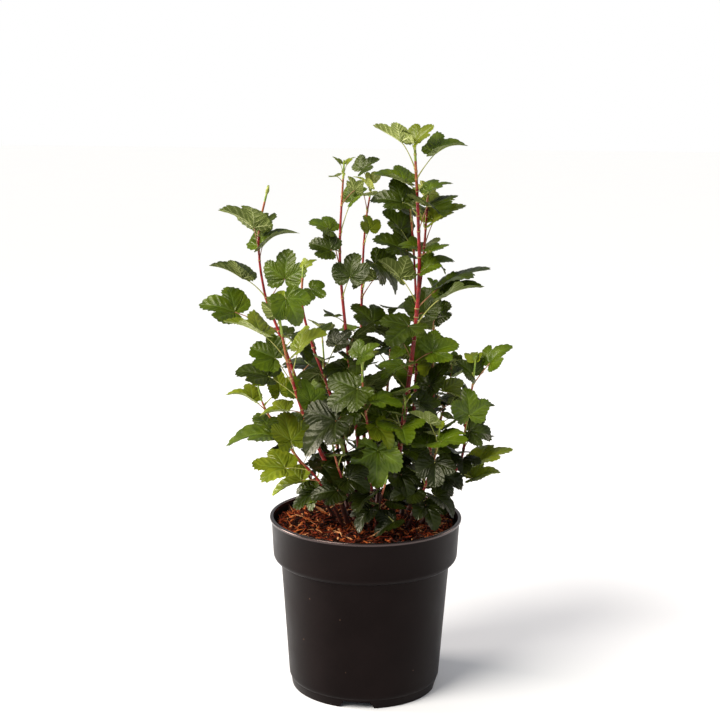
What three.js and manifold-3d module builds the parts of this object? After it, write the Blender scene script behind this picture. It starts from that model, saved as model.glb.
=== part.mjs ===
// Flowering currant in a round nursery pot, in millimetres, +Z up.
// The origin is the centre of the pot's flat underside, and -Y is the side that faces the viewer.
// Each shoot is a bare bough that stands on the mulch and a mass of leaves that grows on from its tip.
import * as THREE from "three";
import { mergeVertices } from "three/addons/utils/BufferGeometryUtils.js";
import Module from "manifold-3d";

const wasm = await Module();
wasm.setup();

// Clearances
const GAP = 0.3; // between two solids that touch on the real plant
const LEAF_CLEAR = 1.3; // between the middle surfaces of two blades
const TWIG_CLEAR = 1; // between a stalk and anything beside it

// The pot, a thin shell turned round the Z axis
const POT = {
  height: 210,
  rim: 115, // outer radius of the lip
  lip: 3.8, // height of the lip
  bandTop: 112.8,
  bandFoot: 110.6,
  bandLow: 156.5, // height of the band's lower edge
  fillet: 8.5, // round turn from the band into the body
  bodyTop: 101.3,
  bodyFoot: 91,
  footLine: 9.5, // height of the line above the foot
  foot: 87.6,
  wall: 2.2,
  floor: 7, // height of the underside inside the foot ring
  pad: 33, // radius of the middle pad that stands on the ground
  sides: 36,
};
const NOTCH = { count: 4, turn: -95.6, foot: 44, top: 31, height: 8.5 };
const DRAIN = { count: 8, ring: 60, radius: 6 };

// The mulch that fills the pot
const MULCH = { top: 203, edge: 197.5, flat: 78 };

// A leaf's outline as shares of its length, from one side of the stalk round the tip to the other:
// low lobe, side lobe, dip and middle lobe
const LOBES = [
  { turn: -114, reach: 0.62 },
  { turn: -54, reach: 0.86 },
  { turn: -28, reach: 0.72 },
  { turn: 0, reach: 1 },
  { turn: 28, reach: 0.72 },
  { turn: 54, reach: 0.86 },
  { turn: 114, reach: 0.62 },
];
const LEAF = {
  heart: 0.3, // share of the length from the stalk to the thickest place
  thick: 0.026, // greatest thickness as a share of the length
  fold: 0.24, // how far the two halves rise from the midrib
  curl: 0.12, // how far their edges come down again
  droop: 0.26, // how far the tip hangs
  stalk: 0.85, // radius of the stalk
};

// A stem: a round rod of straight lengths, with a short flare at its foot
const STEM = {
  boughSides: 8,
  sides: 5, // inside a mass of leaves
  step: 22, // height of one length
  flare: 0.5, // share that the flare adds to the radius at the foot
  flareHeight: 7,
  bareTip: 60, // length of a tip without leaves
};

// How leaves follow each other on a shoot
const RULE = {
  turn: 137.5, // degrees from one leaf to the next
  tries: 9,
  retryTurn: 37, // added to a leaf's bearing when it finds no room
  nudges: [0, 14, -14, 28, -28, 42, -42, 56, -56], // turns tried for the stalk of a shown leaf
  lifts: [0, 6, -6, 12], // and steps up or down its stem
  spurLeaves: 3,
  spurRise: 55,
  spurNode: 0.88, // share of a spur's length where its leaves sit
};

// Each shoot: its line from the mulch to its tip, its diameters, where its leaves begin, and its leaves.
// A row of shown is one leaf that stands out: height of its node, bearing, stalk, rise of the stalk,
// blade, bearing of the blade, pitch of the blade and roll of the blade. Between the heights in open
// the stem carries no other leaves.
const SHOOTS = [
  {
    name: "tall_right",
    open: [[504, 516], [524, 540]],
    line: [[31, -4, 203], [41, -6, 305], [53, -7, 412], [59, -8, 500], [57, -9, 560], [51, -10, 655]],
    thick: [6.4, 2.6],
    leafy: 318,
    pace: 21,
    seed: 497,
    blade: 40,
    spurs: 2,
    shown: [
      [643, 286, 14, 63, 25, 3, 49, 26],
      [640, 249, 22, 46, 13, 180, 69, 0],
      [621, 180, 38, 62, 34, 171, 34, 16],
      [612, 352, 37, 54, 34, 2, 38, 11],
      [598, 198, 19, 34, 34, 180, 32, -12],
      [570, 209, 26, 37, 35, 179, 18, -35],
      [586, 343, 18, 41, 25, 1, 43, 14],
      [522, 335, 16, 30, 22, 9, 26, 6],
      [472, 191, 39, 58, 34, 181, 50, 40],
      [440, 337, 53, 47, 43, 358, 35, 6],
      [452, 62, 21, 5, 29, 80, 76, 0],
      [400, 232, 29, 53, 19, 166, 53, -30],
      [394, 319, 37, 33, 32, 4, 27, 45],
      [503, 316, 11, 40, 27, 358, 43, 24],
      [462, 7, 45, 41, 50, 1, 38, -3],
    ],
  },
  {
    name: "right_fork",
    joins: "tall_right",
    line: [[58.5, -7.5, 474], [64, 6, 520], [67, 18, 560], [69, 24, 596]],
    thick: [3.4, 2],
    leafy: 500,
    pace: 16,
    seed: 212,
    blade: 29,
    spurs: 0,
    shown: [
      [532, 15, 33, 70, 37, 2, 43, 18],
      [566, 37, 15, 70, 28, 4, 33, 16],
    ],
  },
  {
    name: "tall_middle",
    open: [[428, 570]],
    line: [[-4, 0, 203], [-10, -4, 302], [-25, -9, 430], [-33, -14, 524], [-29, -19, 632]],
    thick: [5, 2],
    leafy: 312,
    pace: 20,
    seed: 131,
    blade: 37,
    spurs: 1,
    shown: [
      [528, 230, 16, 12, 26, 178, 25, -50],
      [505, 233, 50, 75, 25, 181, 38, -30],
      [474, 318, 30, 60, 29, 70, 80, 0],
      [614, 335, 17, 74, 11, 11, 58, 10],
      [617, 207, 14, 71, 10, 169, 53, -10],
      [582, 339, 24, 47, 19, 212, 74, 10],
      [548, 332, 41, 72, 23, 3, 48, 30],
    ],
  },
  {
    name: "tall_left",
    open: [[436, 500]],
    line: [
      [-25, 24, 203], [-38, 29, 244], [-74, 39, 335], [-107, 50, 423], [-124, 55, 468],
      [-132, 63, 536], [-121, 70, 596],
    ],
    thick: [5, 1.8],
    leafy: 345,
    pace: 20,
    seed: 397,
    blade: 37,
    spurs: 1,
    bareTip: true,
    shown: [
      [520, 200, 29, 78, 47, 184, 47, 27],
      [522, 59, 25, 74, 26, 356, 53, 30],
      [508, 81, 19, 64, 39, 13, 51, 5],
      [464, 180, 36, 40, 40, 176, 34, 4],
      [456, 339, 39, 55, 35, 76, 84, 0],
      [424, 180, 57, 23, 42, 183, 25, -36],
    ],
  },
  {
    name: "front_left",
    open: [[426, 436]],
    line: [
      [-20, -22, 203], [-42, -33, 270], [-68, -45, 330], [-87, -57, 390], [-96, -66, 435],
      [-101, -73, 474],
    ],
    thick: [5.2, 2.2],
    leafy: 300,
    pace: 20,
    seed: 65,
    blade: 38,
    spurs: 1,
    shown: [
      [408, 188, 44, 48, 43, 177, 28, 0],
      [388, 347, 35, 76, 34, 345, 48, 25],
      [440, 223, 25, 69, 23, 238, 76, 10],
      [448, 339, 26, 64, 30, 326, -50, 40],
      [344, 195, 23, 11, 26, 178, 8, -8],
      [350, 308, 21, 33, 24, 127, 81, 0],
      [374, 205, 44, 58, 32, 171, 22, -55],
      [364, 161, 43, 31, 36, 180, 24, -25],
      [316, 341, 32, 40, 35, 189, 0, -10],
    ],
  },
  {
    name: "inner_left",
    open: [[430, 460]],
    line: [
      [-12, -6, 203], [-19, -8, 265], [-43, -12, 360], [-63, -15, 415], [-76, -17, 465],
      [-75, -20, 512],
    ],
    thick: [4.6, 2.2],
    leafy: 325,
    pace: 18,
    seed: 146,
    blade: 35,
    spurs: 1,
    shown: [
      [384, 332, 40, 65, 24, 1, 53, 35],
      [474, 331, 17, 44, 19, 340, -22, 35],
    ],
  },
  {
    name: "back_middle",
    open: [[440, 560]],
    line: [[0, 24, 203], [-3, 38, 310], [-7, 53, 407], [-7, 63, 476], [-4, 73, 548], [4, 80, 602]],
    thick: [4.8, 1.9],
    leafy: 325,
    pace: 20,
    seed: 557,
    blade: 37,
    spurs: 1,
    shown: [
      [598, 180, 22, 57, 23, 355, 49, 36],
      [528, 360, 20, 68, 18, 122, 82, 0],
      [474, 332, 37, 62, 37, 358, -30, 30],
      [428, 338, 18, 26, 31, 166, 52, -30],
      [590, 212, 8, 63, 19, 195, 53, 0],
      [464, 306, 36, 46, 29, 148, -12, 20],
    ],
  },
  {
    name: "back_right",
    open: [[470, 480]],
    line: [[44, 20, 203], [56, 34, 320], [60, 44, 397], [58, 53, 463], [54, 62, 530], [48, 70, 590]],
    thick: [4.6, 1.9],
    leafy: 335,
    pace: 20,
    seed: 380,
    blade: 35,
    spurs: 1,
    shown: [
      [520, 159, 31, 57, 30, 182, 54, -36],
      [497, 202, 27, 67, 41, 181, 29, -25],
    ],
  },
  {
    name: "right_middle",
    line: [[56, 12, 203], [75, 24, 270], [80, 34, 344], [79, 45, 412], [84, 56, 477]],
    thick: [4.2, 1.9],
    leafy: 300,
    pace: 19,
    seed: 79,
    blade: 37,
    spurs: 1,
    shown: [
      [430, 281, 17, 53, 25, 6, 55, 40],
      [354, 254, 26, 27, 35, 9, 60, 26],
    ],
  },
  {
    name: "far_right",
    open: [[340, 368]],
    line: [
      [66, -14, 203], [95, -17, 252], [112, -19, 285], [117, -23, 337], [123, -26, 378],
      [125, -28, 404],
    ],
    thick: [3.8, 1.8],
    leafy: 262,
    pace: 16,
    seed: 596,
    blade: 30,
    spurs: 1,
    shown: [
      [375, 357, 33, 54, 26, 352, 59, 40],
      [380, 94, 3, 48, 23, 185, 48, -50],
      [318, 280, 29, 56, 31, 112, 87, 0],
      [304, 334, 17, 67, 26, 357, -1, 55],
      [276, 0, 26, 14, 38, 5, 35, 6],
      [266, 355, 23, -10, 33, 5, 21, 8],
      [312, 177, 45, -6, 17, 273, 70, 0],
    ],
  },
  {
    name: "far_left_low",
    line: [
      [-38, 8, 203], [-62, 12, 243], [-90, 15, 286], [-116, 17, 325], [-126, 19, 345],
      [-131, 20, 366],
    ],
    thick: [3.6, 1.8],
    leafy: 270,
    pace: 13,
    seed: 672,
    blade: 32,
    spurs: 0,
    shown: [
      [330, 186, 24, 41, 28, 178, 40, -8],
      [338, 18, 26, 41, 26, 123, 84, 0],
      [294, 187, 18, 28, 47, 181, 16, -12],
    ],
  },
  {
    name: "front_low_left",
    line: [[-26, -26, 203], [-55, -40, 262], [-76, -49, 288], [-96, -60, 318]],
    thick: [3.8, 1.8],
    leafy: 240,
    pace: 11,
    seed: 66,
    blade: 32,
    spurs: 0,
    shown: [
      [276, 188, 29, 7, 39, 179, 12, -18],
      [262, 180, 20, -1, 35, 177, -10, -14],
      [298, 224, 17, 70, 35, 128, 71, 0],
      [248, 206, 14, 11, 31, 195, -26, -16],
      [234, 209, 13, 11, 24, 191, -22, -18],
    ],
  },
  {
    name: "front_short",
    line: [[6, -30, 203], [6, -44, 303], [0, -52, 338], [-5, -60, 378], [-6, -67, 412]],
    thick: [3.6, 1.8],
    leafy: 245,
    pace: 11,
    seed: 76,
    blade: 32,
    spurs: 1,
    shown: [
      [388, 233, 22, 77, 23, 1, 46, 40],
      [368, 226, 15, 42, 38, 203, -21, -30],
      [290, 319, 17, 46, 38, 259, -60, 0],
      [316, 313, 19, 54, 26, 326, -35, 20],
    ],
  },
  {
    name: "low_front",
    line: [[12, -40, 203], [16, -56, 240], [24, -66, 275]],
    thick: [3.2, 1.8],
    leafy: 212,
    pace: 7,
    seed: 60,
    blade: 30,
    spurs: 0,
    shown: [
      [218, 325, 23, -23, 25, 207, -17, -20],
      [224, 200, 18, 35, 28, 215, -34, 0],
      [234, 20, 16, 40, 26, 20, 0, 34],
    ],
  },
  {
    name: "low_right",
    line: [[50, -30, 203], [66, -44, 250], [80, -52, 300], [84, -56, 330]],
    thick: [3.8, 1.8],
    leafy: 222,
    pace: 8,
    seed: 45,
    blade: 34,
    spurs: 0,
    shown: [
      [232, 300, 20, 20, 30, 300, -38, 0],
      [246, 200, 16, 40, 28, 200, -10, -42],
      [262, 350, 18, 30, 30, 350, -5, 38],
      [284, 280, 16, 30, 30, 270, -48, 0],
    ],
  },
  {
    name: "low_middle",
    line: [[26, -24, 203], [34, -34, 260], [42, -44, 320], [44, -50, 360]],
    thick: [4, 1.9],
    leafy: 228,
    pace: 9,
    seed: 716,
    blade: 34,
    spurs: 0,
    shown: [
      [258, 320, 18, 30, 28, 300, -40, 0],
      [292, 331, 16, 39, 26, 0, -11, 34],
    ],
  },
  {
    name: "low_left",
    line: [[-8, -34, 203], [-20, -52, 245], [-34, -64, 290], [-40, -70, 318]],
    thick: [3.4, 1.8],
    leafy: 218,
    pace: 8,
    seed: 282,
    blade: 30,
    spurs: 0,
    shown: [
      [242, 190, 16, 30, 28, 190, 0, -38],
      [266, 320, 16, 30, 28, 330, -10, 34],
      [300, 313, 35, 67, 46, 204, -27, -24],
    ],
  },
  {
    name: "rear_left",
    open: [[355, 392]],
    line: [[-22, 42, 203], [-34, 62, 270], [-50, 88, 350], [-56, 104, 408]],
    thick: [4.4, 1.9],
    leafy: 250,
    pace: 12,
    seed: 104,
    blade: 37,
    spurs: 1,
    shown: [],
  },
  {
    name: "rear_middle",
    line: [[14, 46, 203], [20, 72, 280], [28, 100, 370], [30, 112, 420]],
    thick: [4.6, 1.9],
    leafy: 245,
    pace: 12,
    seed: 717,
    blade: 38,
    spurs: 1,
    shown: [],
  },
  {
    name: "rear_right",
    line: [[52, 38, 203], [74, 58, 262], [98, 82, 330], [108, 94, 382]],
    thick: [4.2, 1.9],
    leafy: 240,
    pace: 11,
    seed: 604,
    blade: 35,
    spurs: 1,
    shown: [],
  },
];

const rad = THREE.MathUtils.degToRad;
const mix = THREE.MathUtils.lerp;

// A plain number generator, so that each shoot grows the same way every time.
function chance(seed) {
  let state = seed * 7919;
  return () => {
    state = (state * 1664525 + 1013904223) % 4294967296;
    return state / 4294967296;
  };
}

// Direction with a bearing round Z and a rise above the level.
function direction(bearing, rise) {
  const b = rad(bearing),
    r = rad(rise);
  return new THREE.Vector3(Math.cos(b) * Math.cos(r), Math.sin(b) * Math.cos(r), Math.sin(r));
}

// The middle line of a shoot: x and y follow the height smoothly through the line's points.
class ShootLine extends THREE.Curve {
  constructor(points) {
    super();
    this.points = points;
  }
  slope(i, axis) {
    const a = this.points[Math.max(i - 1, 0)],
      b = this.points[Math.min(i + 1, this.points.length - 1)];
    return (b[axis] - a[axis]) / (b[2] - a[2]);
  }
  atHeight(z) {
    const p = this.points;
    let i = 0;
    while (i < p.length - 2 && z > p[i + 1][2]) i++;
    const h = p[i + 1][2] - p[i][2],
      t = (z - p[i][2]) / h;
    const at = [0, 1].map(
      (axis) =>
        p[i][axis] * (1 + 2 * t) * (1 - t) ** 2 +
        this.slope(i, axis) * h * t * (1 - t) ** 2 +
        p[i + 1][axis] * t * t * (3 - 2 * t) +
        this.slope(i + 1, axis) * h * t * t * (t - 1),
    );
    return new THREE.Vector3(at[0], at[1], z);
  }
  getPoint(share, target = new THREE.Vector3()) {
    const p = this.points;
    return target.copy(this.atHeight(mix(p[0][2], p[p.length - 1][2], share)));
  }
}

// Geometry to solid and back
function solidOf(geometry) {
  const bare = new THREE.BufferGeometry().setAttribute("position", geometry.getAttribute("position"));
  if (geometry.index) bare.setIndex(geometry.index);
  const merged = mergeVertices(bare, 1e-4);
  return new wasm.Manifold(
    new wasm.Mesh({
      numProp: 3,
      vertProperties: new Float32Array(merged.attributes.position.array),
      triVerts: new Uint32Array(merged.index.array),
    }),
  );
}

function geometryOf(solid) {
  const mesh = solid.getMesh();
  const geometry = new THREE.BufferGeometry();
  geometry.setAttribute("position", new THREE.BufferAttribute(mesh.vertProperties, 3));
  geometry.setIndex(new THREE.BufferAttribute(mesh.triVerts, 1));
  geometry.computeVertexNormals();
  return geometry;
}

// A rod: a cylinder whose rings are moved onto a line, each with its own radius, square to the line
// or level.
function rod(pointAt, radiusAt, sides, steps, level = false) {
  const geometry = new THREE.CylinderGeometry(1, 1, 1, sides, steps).rotateX(Math.PI / 2);
  const place = geometry.attributes.position,
    v = new THREE.Vector3(),
    step = 1e-3;
  for (let i = 0; i < place.count; i++) {
    v.fromBufferAttribute(place, i);
    const share = v.z + 0.5,
      centre = pointAt(share);
    const ahead = pointAt(Math.min(share + step, 1)).sub(pointAt(Math.max(share - step, 0))).normalize();
    const across = new THREE.Vector3(1, 0, 0);
    if (!level && Math.abs(ahead.x) > 0.8) across.set(0, 1, 0);
    if (!level) across.addScaledVector(ahead, -across.dot(ahead)).normalize();
    const beside = level ? new THREE.Vector3(0, 1, 0) : new THREE.Vector3().crossVectors(ahead, across);
    const radius = radiusAt(share);
    centre.addScaledVector(across, v.x * radius).addScaledVector(beside, v.y * radius);
    place.setXYZ(i, centre.x, centre.y, centre.z);
  }
  return geometry;
}

// The three directions of a blade: along its midrib, across it, and out of its upper side.
function bladeAxes(leaf) {
  const along = direction(leaf.aim, leaf.pitch);
  const flatAcross = direction(leaf.aim - 90, 0),
    flatUp = new THREE.Vector3().crossVectors(flatAcross, along);
  const roll = rad(leaf.roll);
  const up = flatUp.clone().multiplyScalar(Math.cos(roll)).addScaledVector(flatAcross, Math.sin(roll));
  return { along, across: new THREE.Vector3().crossVectors(up, along), up };
}

// A place on the blade's middle surface, from shares of its length along and across.
function onBlade(leaf, axes, u, v) {
  const rise = LEAF.fold * Math.abs(v) - LEAF.curl * v * v - LEAF.droop * u * Math.abs(u);
  return leaf.neck
    .clone()
    .addScaledVector(axes.along, u * leaf.blade)
    .addScaledVector(axes.across, v * leaf.blade)
    .addScaledVector(axes.up, rise * leaf.blade);
}

// A leaf's rim points, with the notch at the stalk as the last, and its heart.
function bladeFan(leaf) {
  const axes = bladeAxes(leaf);
  const rim = LOBES.map(({ turn, reach }) =>
    onBlade(leaf, axes, reach * Math.cos(rad(turn)), reach * Math.sin(rad(turn))),
  );
  rim.push(leaf.neck);
  return { axes, rim, heart: onBlade(leaf, axes, LEAF.heart, 0) };
}

// A leaf and its stalk as one closed shape. The stalk is a three-sided tube whose last ring lies in
// the blade's notch. Two fans, over and under, join that ring and the rim to the heart.
function leafGeometry(leaf) {
  const { axes, rim, heart } = leaf.fan;
  const half = (LEAF.thick * leaf.blade) / 2;
  const ahead = leaf.neck.clone().sub(leaf.root).normalize();
  const bend = ahead.clone().add(axes.along).normalize();
  const side = axes.across.clone().addScaledVector(bend, -axes.across.dot(bend)).normalize();
  const under = new THREE.Vector3().crossVectors(side, bend);
  const back = new THREE.Quaternion().setFromUnitVectors(bend, ahead);
  const corners = [
    [0.87, -0.5],
    [0, 1],
    [-0.87, -0.5],
  ];
  const ring = (centre, turned) =>
    corners.map(([x, y]) => {
      const out = side.clone().multiplyScalar(x).addScaledVector(under, y).multiplyScalar(LEAF.stalk);
      return centre.clone().add(turned ? out.applyQuaternion(back) : out);
    });
  const over = heart.clone().addScaledVector(axes.up, half),
    beneath = heart.clone().addScaledVector(axes.up, -half);
  const points = [...ring(leaf.root, true), ...ring(leaf.neck, false), ...rim.slice(0, -1), over, beneath];
  const foot = [0, 1, 2],
    neck = [3, 4, 5],
    first = 6,
    last = first + LOBES.length - 1,
    top = last + 1,
    low = last + 2;
  const faces = [[foot[0], foot[1], foot[2]]];
  for (let i = 0; i < 3; i++) {
    const j = (i + 1) % 3;
    faces.push([foot[i], neck[i], neck[j]], [foot[i], neck[j], foot[j]]);
  }
  for (let i = first; i < last; i++) faces.push([top, i, i + 1], [low, i + 1, i]);
  faces.push([top, last, neck[0]], [top, neck[0], neck[2]], [top, neck[2], first]);
  faces.push([low, neck[0], last], [low, neck[1], neck[0]], [low, neck[2], neck[1]], [low, first, neck[2]]);
  const geometry = new THREE.BufferGeometry().setFromPoints(points);
  return geometry.setIndex(faces.flat());
}

// What a new leaf has to stay clear of: blades as triangles, stalks and stems as short rods.
const blades = [];
const rods = [];

function segmentNearTriangle(a, b, fan, i, clear) {
  const p = fan.heart,
    q = fan.rim[i],
    r = fan.rim[(i + 1) % fan.rim.length];
  const e1 = q.clone().sub(p),
    e2 = r.clone().sub(p);
  const n = new THREE.Vector3().crossVectors(e1, e2).normalize();
  const da = a.clone().sub(p).dot(n),
    db = b.clone().sub(p).dot(n);
  if ((da > clear && db > clear) || (da < -clear && db < -clear)) return false;
  const d11 = e1.dot(e1),
    d12 = e1.dot(e2),
    d22 = e2.dot(e2),
    scale = d11 * d22 - d12 * d12;
  const margin = 0.04;
  for (let k = 0; k <= 4; k++) {
    const t = k / 4,
      d = mix(da, db, t);
    if (Math.abs(d) > clear) continue;
    const w = a.clone().lerp(b, t).sub(p);
    const w1 = w.dot(e1),
      w2 = w.dot(e2);
    const s1 = (d22 * w1 - d12 * w2) / scale,
      s2 = (d11 * w2 - d12 * w1) / scale;
    if (s1 > -margin && s2 > -margin && s1 + s2 < 1 + margin) return true;
  }
  // Where the segment crosses the plane between two of those places.
  if (da * db < 0) {
    const w = a.clone().lerp(b, da / (da - db)).sub(p);
    const w1 = w.dot(e1),
      w2 = w.dot(e2);
    const s1 = (d22 * w1 - d12 * w2) / scale,
      s2 = (d11 * w2 - d12 * w1) / scale;
    return s1 > -margin && s2 > -margin && s1 + s2 < 1 + margin;
  }
  return false;
}

function segmentMeetsFan(a, b, fan, clear) {
  return fan.rim.some((_, i) => segmentNearTriangle(a, b, fan, i, clear));
}

// The least distance between two straight segments, found by looking along each of them.
function segmentDistance(a, b, c, d) {
  const u = b.clone().sub(a),
    v = d.clone().sub(c),
    w = a.clone().sub(c);
  const uu = u.dot(u),
    uv = u.dot(v),
    vv = v.dot(v),
    uw = u.dot(w),
    vw = v.dot(w);
  const within = (x) => Math.min(Math.max(x, 0), 1);
  const scale = uu * vv - uv * uv;
  let s = scale > 1e-9 ? within((uv * vw - vv * uw) / scale) : 0;
  const t = within((uv * s + vw) / vv);
  s = within((uv * t - uw) / uu);
  return a.clone().addScaledVector(u, s).distanceTo(c.clone().addScaledVector(v, t));
}

// The straight edges of a fan: its rim and the spokes to its heart.
function fanEdges(fan) {
  return fan.rim.flatMap((p, i) => [
    [p, fan.rim[(i + 1) % fan.rim.length]],
    [fan.heart, p],
  ]);
}

// Whether a rod passes a fan's rim closer than it may.
function rimNear(other, fan, clear) {
  return fan.rim.some(
    (p, i) => segmentDistance(p, fan.rim[(i + 1) % fan.rim.length], other.a, other.b) < clear,
  );
}

function leafFits(leaf) {
  const { fan } = leaf;
  const tight = leaf.shown ? 0.85 : 1;
  const inPot = (p) =>
    p.z > MULCH.top + 3 && (p.z > POT.height + 2 || Math.hypot(p.x, p.y) < POT.bandTop - 14);
  if (!fan.rim.every(inPot)) return false;
  const near = blades.filter((b) => b.fan.heart.distanceTo(fan.heart) < b.blade + leaf.blade);
  const edges = fanEdges(fan);
  for (const other of near) {
    if (edges.some(([a, b]) => segmentMeetsFan(a, b, other.fan, LEAF_CLEAR * tight))) return false;
    if (fanEdges(other.fan).some(([a, b]) => segmentMeetsFan(a, b, fan, LEAF_CLEAR * tight))) return false;
    if (segmentMeetsFan(leaf.root, leaf.neck, other.fan, LEAF.stalk + TWIG_CLEAR)) return false;
  }
  for (const other of rods) {
    if (other.a.distanceTo(leaf.neck) > 130) continue;
    if (segmentMeetsFan(other.a, other.b, fan, other.radius + TWIG_CLEAR)) return false;
    if (rimNear(other, fan, other.radius + TWIG_CLEAR * tight)) return false;
    const own = other.stem === leaf.stem;
    if (own && leaf.shown) continue;
    const start = own ? leaf.root.clone().lerp(leaf.neck, 0.35) : leaf.root;
    const apart = segmentDistance(start, leaf.neck, other.a, other.b);
    if (apart < other.radius + LEAF.stalk + TWIG_CLEAR * tight) return false;
  }
  return true;
}

// Puts a leaf on its stalk: the neck is where the stalk meets the blade.
function hang(leaf) {
  leaf.neck = leaf.root.clone().addScaledVector(direction(leaf.bearing, leaf.rise), leaf.stalk);
  leaf.fan = bladeFan(leaf);
  return leaf;
}

function keep(leaf) {
  blades.push(leaf);
  rods.push({ a: leaf.root, b: leaf.neck, radius: LEAF.stalk, stem: leaf.stem });
}

// A stem's radius falls evenly from its foot to its tip, with a short flare where it leaves the mulch.
function stemRadius(shoot, z) {
  const p = shoot.line,
    foot = p[0][2],
    tip = p[p.length - 1][2];
  const flare = shoot.joins ? 0 : STEM.flare * Math.exp(-(z - foot) / STEM.flareHeight);
  return (mix(shoot.thick[0], shoot.thick[1], (z - foot) / (tip - foot)) / 2) * (1 + flare);
}

// The leaves that stand out come first, so that the others grow round them. A stalk may swing a
// little to either side to find room.
function shownLeaves(shoot) {
  const found = [];
  for (const [z, bearing, stalk, rise, blade, aim, pitch, roll] of shoot.shown) {
    const wish = { stem: shoot.name, z, stalk, rise, blade, aim, pitch, roll, shown: true };
    const leaf = RULE.lifts
      .flatMap((lift) =>
        RULE.nudges.map((turn) =>
          hang({
            ...wish,
            root: shoot.curve.atHeight(Math.max(z + lift, shoot.leafy + 4)),
            bearing: bearing + turn,
          }),
        ),
      )
      .find(leafFits);
    if (!leaf) continue;
    keep(leaf);
    found.push(leaf);
  }
  return found;
}

// The other leaves follow the rule: each a fixed turn round the stem from the last, larger up to two
// thirds of the way and small at the tip, flatter low down and steeper high up.
function ruledLeaves(shoot) {
  const draw = chance(shoot.seed);
  const tip = shoot.line[shoot.line.length - 1][2];
  const end = shoot.bareTip ? tip - STEM.bareTip : tip - 3;
  const found = [];
  let z = shoot.leafy + 4,
    turn = 360 * draw();
  while (z < end) {
    const share = (z - shoot.leafy) / (tip - shoot.leafy);
    const size = share < 0.6 ? mix(0.78, 1, share / 0.6) : mix(1, 0.5, ((share - 0.6) / 0.4) ** 1.4);
    const blade = shoot.blade * size * (0.88 + 0.24 * draw());
    const wish = {
      stem: shoot.name,
      z,
      root: shoot.curve.atHeight(z),
      blade,
      bearing: turn + 30 * (draw() - 0.5),
      stalk: blade * (0.55 + 0.4 * draw()),
      rise: 26 + 46 * share + 16 * (draw() - 0.5),
      aim: 50 * (draw() - 0.5),
      pitch: -26 + 62 * share + 30 * (draw() - 0.5),
      roll: 44 * (draw() - 0.5),
    };
    const taken =
      shoot.shown.some((row) => Math.abs(row[0] - z) < shoot.pace * 0.3) ||
      shoot.open?.some(([low, high]) => z > low && z < high);
    for (let t = 0; t < RULE.tries && !taken; t++) {
      const bearing = wish.bearing + RULE.retryTurn * t;
      const leaf = hang({ ...wish, bearing, aim: bearing + wish.aim, rise: wish.rise + 5 * t });
      if (!leafFits(leaf)) continue;
      keep(leaf);
      found.push(leaf);
      break;
    }
    turn += RULE.turn;
    z += shoot.pace * (share > 0.8 ? 0.5 : 1) * (0.85 + 0.3 * draw());
  }
  return found;
}

// A spur is a short side twig with a tuft of small young leaves.
function spurs(shoot) {
  const draw = chance(shoot.seed + 1000);
  const tip = shoot.line[shoot.line.length - 1][2];
  const found = [];
  for (let k = 0; k < shoot.spurs; k++) {
    const z = mix(shoot.leafy, tip, 0.12 + 0.5 * draw());
    const bearing = 360 * draw(),
      length = 16 + 12 * draw();
    const root = shoot.curve.atHeight(z),
      top = root.clone().addScaledVector(direction(bearing, RULE.spurRise), length);
    const name = `${shoot.name} spur ${k}`;
    const node = root.clone().lerp(top, RULE.spurNode);
    const leaves = [];
    for (let j = 0; j < RULE.spurLeaves; j++) {
      const blade = 14 + 7 * draw();
      const leaf = hang({
        stem: name,
        z,
        root: node,
        blade,
        bearing: bearing + 120 * j,
        stalk: blade * 0.5,
        rise: 45 + 20 * draw(),
        aim: bearing + 120 * j + 20 * draw(),
        pitch: 10 + 30 * draw(),
        roll: 20 * (draw() - 0.5),
      });
      if (leafFits(leaf)) leaves.push(leaf);
    }
    const clear = !rods.some(
      (other) =>
        other.stem !== shoot.name &&
        segmentDistance(root, top, other.a, other.b) < other.radius + LEAF.stalk + TWIG_CLEAR,
    );
    const open = !blades.some((other) => segmentMeetsFan(root, top, other.fan, LEAF.stalk + TWIG_CLEAR));
    if (!clear || !open || !leaves.length) continue;
    rods.push({ a: root, b: top, radius: LEAF.stalk * 1.2, stem: name });
    leaves.forEach(keep);
    found.push({ root, top, leaves });
  }
  return found;
}

// Growing: stems first, then the leaves that stand out, then the ruled leaves and the spurs.
for (const shoot of SHOOTS) {
  shoot.curve = new ShootLine(shoot.line);
  const tip = shoot.line[shoot.line.length - 1][2],
    foot = shoot.line[0][2];
  const pieces = Math.ceil((tip - foot) / 20);
  for (let i = 0; i < pieces; i++) {
    const low = mix(foot, tip, i / pieces),
      high = mix(foot, tip, (i + 1) / pieces);
    rods.push({
      a: shoot.curve.atHeight(low),
      b: shoot.curve.atHeight(high),
      radius: stemRadius(shoot, low),
      stem: shoot.name,
    });
  }
}
for (const shoot of SHOOTS) shoot.leaves = shownLeaves(shoot);
for (const shoot of SHOOTS) shoot.leaves.push(...ruledLeaves(shoot));
for (const shoot of SHOOTS) shoot.spurTwigs = spurs(shoot);

// Solids of one shoot
function stemSolid(shoot, low, high, sides) {
  const at = (share) => shoot.curve.atHeight(mix(low, high, share));
  const radius = (share) => stemRadius(shoot, mix(low, high, share));
  return rod(at, radius, sides, Math.max(2, Math.round((high - low) / STEM.step)), true);
}

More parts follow.
